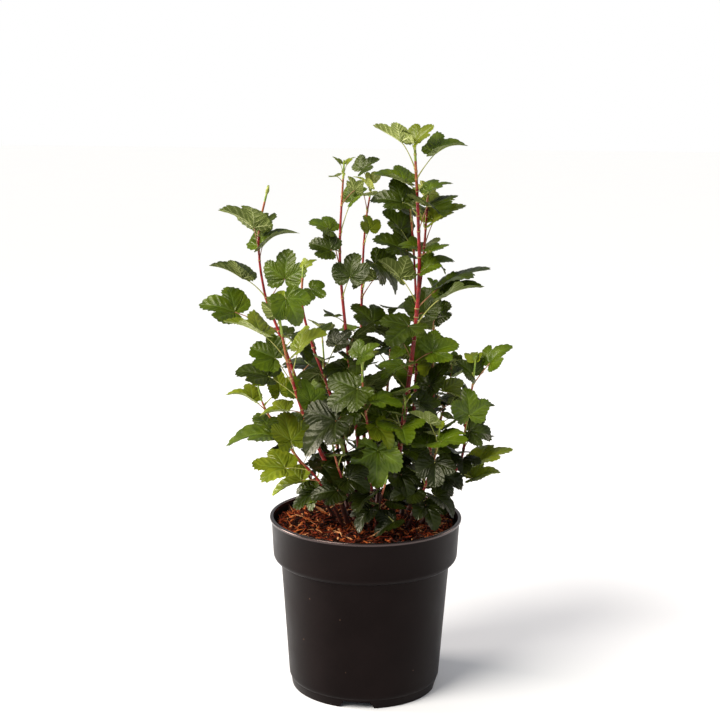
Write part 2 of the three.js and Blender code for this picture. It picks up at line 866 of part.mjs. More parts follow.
function massSolid(shoot) {
  const tip = shoot.line[shoot.line.length - 1][2];
  const members = [shoot, ...SHOOTS.filter((other) => other.joins === shoot.name)];
  const pieces = [];
  for (const member of members) {
    const low = member === shoot ? shoot.leafy + GAP : member.line[0][2];
    const high = member.line[member.line.length - 1][2];
    pieces.push(stemSolid(member, low, high, STEM.sides));
    const twigs = member.spurTwigs;
    for (const { root, top } of twigs) {
      pieces.push(rod((share) => root.clone().lerp(top, share), () => LEAF.stalk * 1.2, 3, 1));
    }
    for (const leaf of [...member.leaves, ...twigs.flatMap((twig) => twig.leaves)]) {
      pieces.push(leafGeometry(leaf));
    }
  }
  return wasm.Manifold.union(pieces.map(solidOf));
}

// Materials
const plastic = new THREE.MeshStandardMaterial({ color: 0x2a2626, roughness: 0.5, metalness: 0 });
const bark = new THREE.MeshStandardMaterial({ color: 0x7a2528, roughness: 0.55, metalness: 0 });
const green = new THREE.MeshStandardMaterial({
  color: 0x34501f,
  roughness: 0.45,
  metalness: 0,
  side: THREE.DoubleSide,
});
const chips = new THREE.MeshStandardMaterial({ color: 0x7d3b1c, roughness: 0.85, metalness: 0 });

const plant = new THREE.Group();

function add(name, geometry, material) {
  const mesh = new THREE.Mesh(geometry, material);
  mesh.name = name;
  plant.add(mesh);
}

// The pot: a lathe profile from the pad, out to the foot, up the body and band, and down inside.
function potSolid() {
  const { wall } = POT;
  const turn = (centreR, centreZ, radius, from, to, steps) =>
    Array.from({ length: steps + 1 }, (_, i) => {
      const a = rad(mix(from, to, i / steps));
      return [centreR + radius * Math.cos(a), centreZ + radius * Math.sin(a)];
    });
  const profile = [
    [0, 0],
    [POT.pad, 0],
    [POT.pad + 4, POT.floor],
    [POT.foot - wall - 1, POT.floor],
    [POT.foot - wall - 1.4, 0],
    [POT.foot - 1, 0],
    [POT.foot, 1],
    [POT.bodyFoot - 1.4, POT.footLine],
    [POT.bodyFoot, POT.footLine + 4.5],
    [POT.bodyTop, POT.bandLow],
    ...turn(POT.bandFoot - POT.fillet, POT.bandLow + POT.fillet, POT.fillet, -90, 0, 3),
    [POT.bandTop, POT.height - POT.lip],
    [POT.rim, POT.height - POT.lip + 1],
    [POT.rim, POT.height - 1],
    [POT.rim - 1, POT.height],
    [POT.rim - 4, POT.height],
    [POT.bandTop - wall, POT.height - POT.lip],
    [POT.bandFoot - wall, POT.bandLow + POT.fillet],
    [POT.bandFoot - wall - 5, POT.bandLow + wall],
    [POT.bodyTop - wall, POT.bandLow + wall - 1],
    [POT.bodyFoot - wall - 0.6, POT.floor + wall + 4],
    [POT.bodyFoot - wall - 5, POT.floor + wall],
    [POT.pad + 3, POT.floor + wall],
    [POT.pad - 1, wall],
    [0, wall],
  ].map(([r, z]) => new THREE.Vector2(r, z));
  let pot = solidOf(new THREE.LatheGeometry(profile, POT.sides).rotateX(Math.PI / 2));
  // Four openings in the foot ring let water out at the side.
  for (let i = 0; i < NOTCH.count; i++) {
    const outline = new THREE.Shape();
    outline.moveTo(-NOTCH.foot / 2 - 1, -1);
    outline.lineTo(NOTCH.foot / 2 + 1, -1);
    outline.lineTo(NOTCH.top / 2 + 0.7, NOTCH.height - 1.2);
    outline.lineTo(NOTCH.top / 2 - 1.2, NOTCH.height);
    outline.lineTo(-NOTCH.top / 2 + 1.2, NOTCH.height);
    outline.lineTo(-NOTCH.top / 2 - 0.7, NOTCH.height - 1.2);
    const cut = new THREE.ExtrudeGeometry(outline, { depth: 30, bevelEnabled: false, steps: 1 });
    cut.rotateX(Math.PI / 2).translate(0, POT.foot + 12, 0);
    cut.rotateZ(rad(NOTCH.turn - 90 + (360 * i) / NOTCH.count));
    pot = pot.subtract(solidOf(cut));
  }
  // Round drain holes in the floor, between the pad and the foot ring.
  for (let i = 0; i < DRAIN.count; i++) {
    const a = rad(NOTCH.turn + (360 * (i + 0.5)) / DRAIN.count);
    const hole = new THREE.CylinderGeometry(DRAIN.radius, DRAIN.radius, 8, 8).rotateX(Math.PI / 2);
    hole.translate(DRAIN.ring * Math.cos(a), DRAIN.ring * Math.sin(a), POT.floor + wall / 2);
    pot = pot.subtract(solidOf(hole));
  }
  return pot;
}

// The filling: a plug of soil with bark on top that follows the pot's inside, level in the middle.
function mulchGeometry() {
  const { wall } = POT;
  const inset = wall + GAP + 0.35; // the flats of a many-sided wall stand inside its circle
  const profile = [
    [0, wall + GAP],
    [POT.pad - 1.6, wall + GAP],
    [POT.pad + 2.4, POT.floor + wall + GAP],
    [POT.bodyFoot - inset - 5.3, POT.floor + wall + GAP],
    [POT.bodyFoot - inset - 0.9, POT.floor + wall + 4],
    [POT.bodyTop - inset - 0.2, POT.bandLow + wall],
    [POT.bandFoot - inset - 5.4, POT.bandLow + wall + 0.9],
    [POT.bandFoot - inset - 0.4, POT.bandLow + POT.fillet + 0.6],
    [POT.bandTop - inset - 1.2, MULCH.edge],
    [MULCH.flat, MULCH.top],
    [0, MULCH.top],
  ].map(([r, z]) => new THREE.Vector2(r, z));
  return new THREE.LatheGeometry(profile, POT.sides).rotateX(Math.PI / 2);
}

add("pot", geometryOf(potSolid()), plastic);
add("mulch", mulchGeometry(), chips);
for (const shoot of SHOOTS.filter((one) => !one.joins)) {
  add(`${shoot.name}_bough`, stemSolid(shoot, MULCH.top + GAP, shoot.leafy, STEM.boughSides), bark);
  add(`${shoot.name}_foliage`, geometryOf(massSolid(shoot)), green);
}

export default plant;
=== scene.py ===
import math

import bmesh
import bpy
import numpy as np
from mathutils import Matrix, Vector, noise


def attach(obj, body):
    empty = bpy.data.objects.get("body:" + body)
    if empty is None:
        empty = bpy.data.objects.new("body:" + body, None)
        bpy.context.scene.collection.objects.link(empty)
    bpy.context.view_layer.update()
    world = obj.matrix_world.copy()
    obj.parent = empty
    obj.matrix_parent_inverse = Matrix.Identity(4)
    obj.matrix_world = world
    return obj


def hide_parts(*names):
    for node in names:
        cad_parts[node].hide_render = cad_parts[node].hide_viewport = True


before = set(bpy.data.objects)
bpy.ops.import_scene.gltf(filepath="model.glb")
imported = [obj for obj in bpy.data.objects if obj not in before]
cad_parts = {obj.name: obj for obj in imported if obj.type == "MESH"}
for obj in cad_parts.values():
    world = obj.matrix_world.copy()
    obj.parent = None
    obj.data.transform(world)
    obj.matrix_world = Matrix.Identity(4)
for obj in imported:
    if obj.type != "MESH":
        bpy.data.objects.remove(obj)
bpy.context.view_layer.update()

# The studio
# A pale floor under a pale sky. The camera stands 1.7 m away and a little above the plant, with
# a long lens. A wide soft key lights it from high on the left front, and two lamps edge the pot.


def linear(hex_colour):
    """An sRGB hex colour as the linear numbers that a shader takes."""
    parts = [int(hex_colour[i : i + 2], 16) / 255 for i in (1, 3, 5)]
    return [c / 12.92 if c <= 0.04045 else ((c + 0.055) / 1.055) ** 2.4 for c in parts] + [1]


def add_node(tree, kind, inputs=None, **settings):
    """Adds a node with its own settings, and fills its sockets with values or other outputs."""
    node = tree.nodes.new(kind)
    for name, value in settings.items():
        setattr(node, name, value)
    for name, value in (inputs or {}).items():
        if isinstance(value, bpy.types.NodeSocket):
            tree.links.new(value, node.inputs[name])
        else:
            node.inputs[name].default_value = value
    return node


def new_material(name, **constants):
    """A material with one Principled shader, whose constants are set on its own sockets."""
    material = bpy.data.materials.new(name)
    material.use_nodes = True
    tree = material.node_tree
    shader = tree.nodes["Principled BSDF"]
    for socket, value in constants.items():
        shader.inputs[socket.replace("_", " ")].default_value = value
    place = add_node(tree, "ShaderNodeTexCoord").outputs["Object"]
    return material, tree, shader, place


LENS, CAMERA_PLACE = 73.49, (-0.00863, -1.7, 0.72398)
LOOK_DOWN, CAMERA_ROLL = 10.83, 0.571  # degrees
camera = bpy.data.objects.new("camera", bpy.data.cameras.new("camera"))
camera.data.lens, camera.data.sensor_width = LENS, 36
camera.data.clip_start, camera.data.clip_end = 0.1, 60
camera.matrix_world = (
    Matrix.Translation(CAMERA_PLACE)
    @ Matrix.Rotation(math.radians(90 - LOOK_DOWN), 4, "X")
    @ Matrix.Rotation(math.radians(CAMERA_ROLL), 4, "Z")
)
bpy.context.scene.collection.objects.link(camera)
bpy.context.scene.camera = camera
bpy.context.scene.view_settings.view_transform = "Standard"

# The sky shows white behind the plant and lights it only softly, as a room does.
world = bpy.data.worlds.new("pale_sky")
world.use_nodes = True
sky = world.node_tree
room = sky.nodes["Background"]
room.inputs["Color"].default_value = linear("#F9FBFF")
room.inputs["Strength"].default_value = 0.38
white = add_node(sky, "ShaderNodeBackground", {"Color": linear("#FFFFFF"), "Strength": 1.0})
seen = add_node(sky, "ShaderNodeLightPath").outputs["Is Camera Ray"]
both = add_node(sky, "ShaderNodeMixShader", {0: seen, 1: room.outputs[0], 2: white.outputs[0]})
sky.links.new(both.outputs[0], sky.nodes["World Output"].inputs["Surface"])
bpy.context.scene.world = world

LAMPS = (  # name, kind, place, size in degrees or metres, power, colour
    ("key_lamp", "SUN", (-1.5, -1.25, 2.1), 34, 3.6, "#FFF6EA"),
    ("left_lamp", "AREA", (-1.9, 0.35, 0.7), 0.9, 50, "#FFF2E8"),
    ("right_lamp", "AREA", (1.7, 0.9, 1.1), 0.8, 9, "#FFEEE4"),
)
for name, kind, place, size, power, colour in LAMPS:
    lamp = bpy.data.objects.new(name, bpy.data.lights.new(name, kind))
    lamp.data.energy, lamp.data.color = power, linear(colour)[:3]
    if kind == "SUN":
        lamp.data.angle = math.radians(size)
    else:
        lamp.data.size = size
    aim = (Vector((0, 0, 0.3)) - Vector(place)).to_track_quat("-Z", "Y")
    lamp.matrix_world = Matrix.Translation(place) @ aim.to_matrix().to_4x4()
    lamp.visible_camera = False
    bpy.context.scene.collection.objects.link(lamp)

floor_mesh = bmesh.new()
bmesh.ops.create_grid(floor_mesh, x_segments=2, y_segments=2, size=14)
floor = bpy.data.objects.new("floor", bpy.data.meshes.new("floor"))
floor_mesh.to_mesh(floor.data)
floor_mesh.free()
# Matt studio floor, a cool white that looks neutral under the warm key and shows only a soft
# shadow. It scatters light up from below.
floor_paint, tree, shader, place = new_material("matt_studio_floor", Roughness=0.85)
speckle = add_node(tree, "ShaderNodeTexNoise", {"Vector": place, "Scale": 3.0, "Detail": 2.0})
paint = add_node(tree, "ShaderNodeValToRGB", {0: speckle.outputs[0]})
paint.color_ramp.elements[0].color = linear("#F4F9FF")
paint.color_ramp.elements[1].color = linear("#F7FBFF")
tree.links.new(paint.outputs[0], shader.inputs["Base Color"])
floor.data.materials.append(floor_paint)
bpy.context.scene.collection.objects.link(floor)

# The pot
# A round nursery pot, injection moulded in near-black polypropylene: a thin wall with a turned
# lip, a wide band, a tapering body, four openings in its foot ring and eight drain holes.
POT_HEIGHT, POT_LIP_RADIUS, POT_WALL, POT_FLOOR = 210, 115, 2.2, 7
BAND_TOP, BAND_FOOT, BAND_LOW, BAND_FILLET = 112.8, 110.6, 156.5, 8.5
BODY_TOP, BODY_FOOT, FOOT_RADIUS, PAD_RADIUS = 101.3, 91, 87.6, 33
OPENINGS, OPENING_TURN = 4, -95.6  # how many, and the bearing of the first in degrees
OPENING_FOOT_WIDTH, OPENING_TOP_WIDTH, OPENING_HEIGHT = 44, 31, 8.5
HOLES, HOLE_RADIUS, HOLE_CIRCLE = 8, 6, 60


def arc(across, up, radius, start, end, steps):
    """Points on an arc in the profile, from one angle to another in degrees."""
    turns = np.radians(np.linspace(start, end, steps + 1))
    return [(across + radius * math.cos(t), up + radius * math.sin(t)) for t in turns]


pot_profile = [
    (0, 0),
    *arc(PAD_RADIUS - 1, 1, 1, -90, -20, 4),
    *arc(PAD_RADIUS + 5, POT_FLOOR - 1, 1, 160, 90, 4),
    *arc(FOOT_RADIUS - POT_WALL - 2, POT_FLOOR - 1, 1, 90, 0, 4),
    *arc(FOOT_RADIUS - POT_WALL + 0.2, 0.7, 0.7, 180, 270, 4),
    *arc(FOOT_RADIUS - 0.8, 0.8, 0.8, 270, 350, 4),
    (89.1, 9.2),
    *arc(90.0, 10.6, 0.6, 200, 110, 3),
    (90.9, 14),
    (BODY_FOOT + 0.2, 17),
    (BODY_FOOT + (BODY_TOP - BODY_FOOT) * 0.33, 62),
    (BODY_FOOT + (BODY_TOP - BODY_FOOT) * 0.66, 109),
    *arc(BODY_TOP + 1.2, BAND_LOW - 1.2, 1.2, 180, 90, 4),
    *arc(BAND_FOOT - BAND_FILLET, BAND_LOW + BAND_FILLET, BAND_FILLET, -90, 0, 10),
    (BAND_TOP, POT_HEIGHT - 4.4),
    *arc(BAND_TOP + 0.7, POT_HEIGHT - 3.9, 0.6, 200, 120, 3),
    *arc(POT_LIP_RADIUS - 0.7, POT_HEIGHT - 2.6, 0.7, -90, 0, 4),
    *arc(POT_LIP_RADIUS - 1.3, POT_HEIGHT - 1.3, 1.3, 0, 90, 5),
    *arc(POT_LIP_RADIUS - 3.3, POT_HEIGHT - 1.1, 1.1, 90, 180, 4),
    (BAND_TOP - POT_WALL, POT_HEIGHT - 5),
    (BAND_FOOT - POT_WALL, BAND_LOW + BAND_FILLET),
    (BAND_FOOT - POT_WALL - 5, BAND_LOW + POT_WALL),
    (BODY_TOP - POT_WALL, BAND_LOW + POT_WALL - 1),
    (BODY_FOOT - POT_WALL - 0.6, POT_FLOOR + POT_WALL + 4),
    (BODY_FOOT - POT_WALL - 5, POT_FLOOR + POT_WALL),
    (PAD_RADIUS + 3, POT_FLOOR + POT_WALL),
    (PAD_RADIUS - 1, POT_WALL),
    (0, POT_WALL),
]


def spun(name, profile, steps):
    """A shape turned round the Z axis from a profile of radii and heights in millimetres."""
    shape = bmesh.new()
    points = [shape.verts.new((r / 1000, 0, z / 1000)) for r, z in profile]
    edges = [shape.edges.new(pair) for pair in zip(points, points[1:])]
    bmesh.ops.spin(
        shape, geom=points + edges, axis=(0, 0, 1), cent=(0, 0, 0), steps=steps,
        angle=2 * math.pi, use_merge=True,
    )
    bmesh.ops.remove_doubles(shape, verts=shape.verts, dist=1e-6)
    bmesh.ops.recalc_face_normals(shape, faces=shape.faces)
    piece = bpy.data.objects.new(name, bpy.data.meshes.new(name))
    shape.to_mesh(piece.data)
    shape.free()
    bpy.context.scene.collection.objects.link(piece)
    return piece


pot = spun("pot_shell", pot_profile, 180)
cutter_shape = bmesh.new()
for k in range(OPENINGS):
    opening = bmesh.ops.create_cube(cutter_shape, size=1)["verts"]
    for corner in opening:  # it reaches 12 mm to either side of the wall and 2 mm underground
        wide = OPENING_FOOT_WIDTH if corner.co.z < 0 else OPENING_TOP_WIDTH
        out = FOOT_RADIUS + (12 if corner.co.x > 0 else -12)
        up = OPENING_HEIGHT if corner.co.z > 0 else -2
        corner.co = Vector((out, corner.co.y * wide, up)) / 1000
    turn = Matrix.Rotation(math.radians(OPENING_TURN + 360 * k / OPENINGS), 3, "Z")
    bmesh.ops.rotate(cutter_shape, verts=opening, cent=(0, 0, 0), matrix=turn)
for k in range(HOLES):
    radius = HOLE_RADIUS / 1000
    hole = bmesh.ops.create_cone(
        cutter_shape, cap_ends=True, segments=24, radius1=radius, radius2=radius, depth=0.012
    )["verts"]
    turn = math.radians(OPENING_TURN + 360 * (k + 0.5) / HOLES)
    middle = Vector((HOLE_CIRCLE * math.cos(turn), HOLE_CIRCLE * math.sin(turn), 8)) / 1000
    bmesh.ops.translate(cutter_shape, verts=hole, vec=middle)
bmesh.ops.recalc_face_normals(cutter_shape, faces=cutter_shape.faces)
cutter = bpy.data.objects.new("cutter", bpy.data.meshes.new("cutter"))
cutter_shape.to_mesh(cutter.data)
cutter_shape.free()
bpy.context.scene.collection.objects.link(cutter)
cut = pot.modifiers.new("openings", "BOOLEAN")
cut.operation, cut.solver, cut.object = "DIFFERENCE", "EXACT", cutter
graph = bpy.context.evaluated_depsgraph_get()
cut_mesh = bpy.data.meshes.new_from_object(pot.evaluated_get(graph))
pot.modifiers.clear()
pot.data = cut_mesh
bpy.data.objects.remove(cutter)
pot.data.shade_smooth()
pot.data.set_sharp_from_angle(angle=math.radians(38))

# Moulded polypropylene: near-black with a soft satin sheen, a fine grain from the mould, and
# pale specks of dust and potting soil. IOR 1.49.
plastic, tree, shader, place = new_material(
    "moulded_black_polypropylene", IOR=1.49, Specular_Tint=linear("#FFE2DE")
)
grain = add_node(tree, "ShaderNodeTexNoise", {"Vector": place, "Scale": 900.0, "Detail": 3.0})
cloud = add_node(tree, "ShaderNodeTexNoise", {"Vector": place, "Scale": 22.0, "Detail": 5.0})
tone = add_node(tree, "ShaderNodeValToRGB", {0: cloud.outputs[0]})
tone.color_ramp.elements[0].position, tone.color_ramp.elements[1].position = 0.35, 0.7
tone.color_ramp.elements[0].color = linear("#080505")
tone.color_ramp.elements[1].color = linear("#0F0A0A")
# Specks of soil up to 1.4 mm wide, thinly strewn: a dozen or two on the whole pot.
dots = add_node(
    tree, "ShaderNodeTexVoronoi", {"Vector": place, "Scale": 140.0, "Randomness": 1.0}
)
near_dot = add_node(
    tree, "ShaderNodeMath", {0: dots.outputs["Distance"], 1: 0.1}, operation="LESS_THAN"
)
pick = add_node(tree, "ShaderNodeSeparateColor", {0: dots.outputs["Color"]})
rare = add_node(tree, "ShaderNodeMath", {0: pick.outputs[0], 1: 0.965}, operation="GREATER_THAN")
dust = add_node(
    tree, "ShaderNodeMath", {0: near_dot.outputs[0], 1: rare.outputs[0]}, operation="MULTIPLY"
)
colour = add_node(
    tree, "ShaderNodeMix", {0: dust.outputs[0], 6: tone.outputs[0], 7: linear("#5A4638")},
    data_type="RGBA",
)
satin = add_node(
    tree, "ShaderNodeMapRange", {0: cloud.outputs[0], 1: 0.3, 2: 0.7, 3: 0.36, 4: 0.47}
)
# The lip is rubbed smooth by hands, so it shines more than the wall.
height = add_node(tree, "ShaderNodeSeparateXYZ", {"Vector": place})
rubbed = add_node(
    tree, "ShaderNodeMapRange", {0: height.outputs["Z"], 1: 0.2055, 2: 0.2075, 3: 0.0, 4: 1.0}
)
gloss = add_node(
    tree, "ShaderNodeMix", {0: rubbed.outputs[0], 2: satin.outputs[0], 3: 0.2}, data_type="FLOAT"
)
shine = add_node(
    tree, "ShaderNodeMapRange", {0: rubbed.outputs[0], 1: 0.0, 2: 1.0, 3: 0.09, 4: 1.0}
)
bump = add_node(
    tree, "ShaderNodeBump", {"Height": grain.outputs[0], "Strength": 0.16, "Distance": 0.0004}
)
tree.links.new(colour.outputs[2], shader.inputs["Base Color"])
tree.links.new(gloss.outputs[0], shader.inputs["Roughness"])
tree.links.new(shine.outputs[0], shader.inputs["Specular IOR Level"])
tree.links.new(bump.outputs[0], shader.inputs["Normal"])
pot.data.materials.append(plastic)
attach(pot, "root")
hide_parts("pot")

# The mulch
# Potting soil fills the pot, and shredded bark covers it: bent splinters 3 to 20 mm long in
# four browns, dark when wet and orange where they broke, heaped loosely on the dark soil.
MULCH_TOP, MULCH_EDGE, MULCH_FLAT, MULCH_RADIUS = 203, 197.5, 78, 109
BED_GAP = 0.3  # between the soil and the pot


def bed_height(out):
    """The height of the soil under the bark, level in the middle and lower at the wall."""
    fall = np.clip((out - MULCH_FLAT) / (MULCH_RADIUS - MULCH_FLAT), 0, 1)
    return MULCH_TOP - 2.2 - (MULCH_TOP - MULCH_EDGE) * fall**1.5


# The soil follows the inside of the pot, less than a millimetre away from it.
bed_profile = [
    (0, POT_WALL + BED_GAP),
    (PAD_RADIUS - 1.6, POT_WALL + BED_GAP),
    (PAD_RADIUS + 2.4, POT_FLOOR + POT_WALL + BED_GAP),
    (83.2, POT_FLOOR + POT_WALL + BED_GAP),
    (87.6, POT_FLOOR + POT_WALL + 4),
    (98.6, BAND_LOW + POT_WALL),
    (102.7, BAND_LOW + POT_WALL + 0.9),
    (107.7, BAND_LOW + BAND_FILLET + 0.6),
    (109.0, 190),
    *((r, float(bed_height(r))) for r in np.linspace(MULCH_RADIUS, 0, 46)),
]
bed = spun("soil_bed", bed_profile, 150)
# The top is uneven by a millimetre or two, in lumps about 6 and 2 mm wide.
for corner in bed.data.vertices:
    out = math.hypot(corner.co.x, corner.co.y)
    if corner.co.z > 0.192 and out < 0.1075:
        spot = corner.co * 160
        corner.co.z += 0.0011 * noise.noise(spot) + 0.0009 * noise.noise(spot * 2.7)
bed.data.shade_smooth()

# Moist peat soil: almost black, crumbly and dull.
soil, tree, shader, place = new_material(
    "moist_peat_soil", Roughness=0.9, Specular_IOR_Level=0.1
)
crumbs = add_node(tree, "ShaderNodeTexNoise", {"Vector": place, "Scale": 420.0, "Detail": 4.0})
tone = add_node(tree, "ShaderNodeValToRGB", {0: crumbs.outputs[0]})
tone.color_ramp.elements[0].position, tone.color_ramp.elements[1].position = 0.4, 0.68
tone.color_ramp.elements[0].color = linear("#0C0402")
tone.color_ramp.elements[1].color = linear("#341409")
bump = add_node(
    tree, "ShaderNodeBump", {"Height": crumbs.outputs[0], "Strength": 0.7, "Distance": 0.0012}
)
tree.links.new(tone.outputs[0], shader.inputs["Base Color"])
tree.links.new(bump.outputs[0], shader.inputs["Normal"])
bed.data.materials.append(soil)


def tube(path, radii, sides, flat=1.0):
    """A tube through a path, closed at both ends: points, triangles and each one's ring."""
    path, radii = np.asarray(path, float), np.asarray(radii, float)
    ahead = np.gradient(path, axis=0)
    ahead /= np.linalg.norm(ahead, axis=1, keepdims=True)
    side = np.cross(ahead, np.eye(3)[np.argmin(np.abs(ahead.mean(0)))])
    side /= np.linalg.norm(side, axis=1, keepdims=True)
    other = np.cross(ahead, side) * flat
    turn = 2 * math.pi * np.arange(sides) / sides
    rings = path[:, None] + radii[:, None, None] * (
        np.cos(turn)[None, :, None] * side[:, None] + np.sin(turn)[None, :, None] * other[:, None]
    )
    count = len(path)
    points = np.vstack([rings.reshape(-1, 3), path[0], path[-1]])
    k, j = np.meshgrid(np.arange(count - 1), np.arange(sides), indexing="ij")
    k, j = k.ravel(), j.ravel()
    a, b = k * sides + j, k * sides + (j + 1) % sides
    c, d = b + sides, a + sides
    j = np.arange(sides)
    last = (count - 1) * sides
    triangles = np.concatenate([
        np.stack([a, b, c], 1),
        np.stack([a, c, d], 1),
        np.stack([np.full(sides, count * sides), (j + 1) % sides, j], 1),
        np.stack([np.full(sides, count * sides + 1), last + j, last + (j + 1) % sides], 1),
    ])
    ring = np.concatenate([k, k, np.zeros(sides, int), np.full(sides, count - 2)])
    return points, triangles, ring


def joined(name, shapes, materials, sharp=60):
    """One mesh of many small shapes, each given as points in mm, triangles and their slots."""
    start = np.cumsum([0] + [len(shape[0]) for shape in shapes[:-1]])
    points = np.concatenate([shape[0] for shape in shapes]) / 1000
    triangles = np.concatenate([shape[1] + first for shape, first in zip(shapes, start)])
    slots = np.concatenate([np.broadcast_to(shape[2], len(shape[1])) for shape in shapes])
    mesh = bpy.data.meshes.new(name)
    mesh.vertices.add(len(points))
    mesh.vertices.foreach_set("co", points.astype(np.float32).ravel())
    mesh.loops.add(3 * len(triangles))
    mesh.loops.foreach_set("vertex_index", triangles.astype(np.int32).ravel())
    mesh.polygons.add(len(triangles))
    mesh.polygons.foreach_set("loop_start", np.arange(0, 3 * len(triangles), 3, dtype=np.int32))
    mesh.polygons.foreach_set("material_index", slots.astype(np.int32))
    mesh.update(calc_edges=True)
    mesh.validate()
    mesh.shade_smooth()
    mesh.set_sharp_from_angle(angle=math.radians(sharp))
    for material in materials:
        mesh.materials.append(material)
    if len(shapes[0]) > 3:  # how much of a side vein lies at each point
        vein = mesh.attributes.new("vein", "FLOAT", "POINT")
        vein.data.foreach_set("value", np.concatenate([shape[3] for shape in shapes]))
    piece = bpy.data.objects.new(name, mesh)
    bpy.context.scene.collection.objects.link(piece)
    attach(piece, "root")
    return piece


CHIPS, CHIP_REACH, CHIP_EDGE = 3000, 107, 108.2  # how many, and how near the wall they lie
chip_rng = np.random.default_rng(41)
BARK_TONES = (  # name, share of the chips, darkest and lightest colour
    ("wet_dark", 0.42, "#140502", "#38140A"),
    ("red_brown", 0.34, "#4A1607", "#8A3416"),
    ("orange", 0.17, "#8A3814", "#C26A34"),
    ("pale_splinter", 0.07, "#B06C3A", "#E0AA78"),
)
chips = {name: [] for name, *_ in BARK_TONES}
tone_shares = np.cumsum([share for _, share, *_ in BARK_TONES])
for _ in range(CHIPS):
    length, width = chip_rng.uniform(5, 20), chip_rng.uniform(0.9, 3.6)
    length = length if chip_rng.random() < 0.6 else length * 0.5
    out, around = CHIP_REACH * math.sqrt(chip_rng.random()), chip_rng.uniform(0, 2 * math.pi)
    yaw, tilt = chip_rng.uniform(0, 2 * math.pi), chip_rng.normal(0, 0.24)
    level = math.cos(tilt)
    toward = np.array([math.cos(yaw) * level, math.sin(yaw) * level, math.sin(tilt)])
    outward = abs(math.cos(yaw - around)) * length / 2
    out = min(out, CHIP_EDGE - outward - width / 2)
    rise = float(bed_height(out)) + chip_rng.uniform(0.4, 4.2) + abs(math.sin(tilt)) * length * 0.3
    middle = np.array([out * math.cos(around), out * math.sin(around), rise])
    bend = np.cross(toward, [0, 0, 1]) * chip_rng.normal(0, 0.12)
    bend = bend + [0, 0, chip_rng.normal(0, 0.07)]
    path = [
        middle + toward * length * s + bend * length * (1 - 8 * s * s)
        for s in (-0.5, -0.2, 0.15, 0.5)
    ]
    radii = width / 2 * np.array([0.35, 1, 0.9, 0.25]) * chip_rng.uniform(0.7, 1.2, 4)
    points, triangles, _ = tube(path, radii, 4, chip_rng.uniform(0.22, 0.6))
    kind = BARK_TONES[int(np.searchsorted(tone_shares, chip_rng.random()).clip(0, 3))][0]
    chips[kind].append((points, triangles, 0))
mulch_pieces = [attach(bed, "root")]
for name, _, dark, light in BARK_TONES:
    # Shredded conifer bark: matt and fibrous, streaked along the grain, rough where it tore.
    bark_chip, tree, shader, place = new_material(
        f"shredded_bark_{name}", Roughness=0.7, Specular_IOR_Level=0.15
    )
    fibre = add_node(tree, "ShaderNodeTexNoise", {"Vector": place, "Scale": 330.0, "Detail": 4.0})
    tone = add_node(tree, "ShaderNodeValToRGB", {0: fibre.outputs[0]})
    tone.color_ramp.elements[0].position, tone.color_ramp.elements[1].position = 0.34, 0.66
    tone.color_ramp.elements[0].color, tone.color_ramp.elements[1].color = linear(dark), linear(light)
    bump = add_node(
        tree, "ShaderNodeBump", {"Height": fibre.outputs[0], "Strength": 0.6, "Distance": 0.0007}
    )
    tree.links.new(tone.outputs[0], shader.inputs["Base Color"])
    tree.links.new(bump.outputs[0], shader.inputs["Normal"])
    mulch_pieces.append(joined(f"bark_mulch_{name}", chips[name], [bark_chip], 30))
for piece in mulch_pieces:
    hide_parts("mulch")

# The shoots
# Nineteen thin woody stems rise from one root under the mulch, and the tallest forks once. Lobed
# leaves stand round them on thin stalks, large in the middle of a stem and small at its tip.

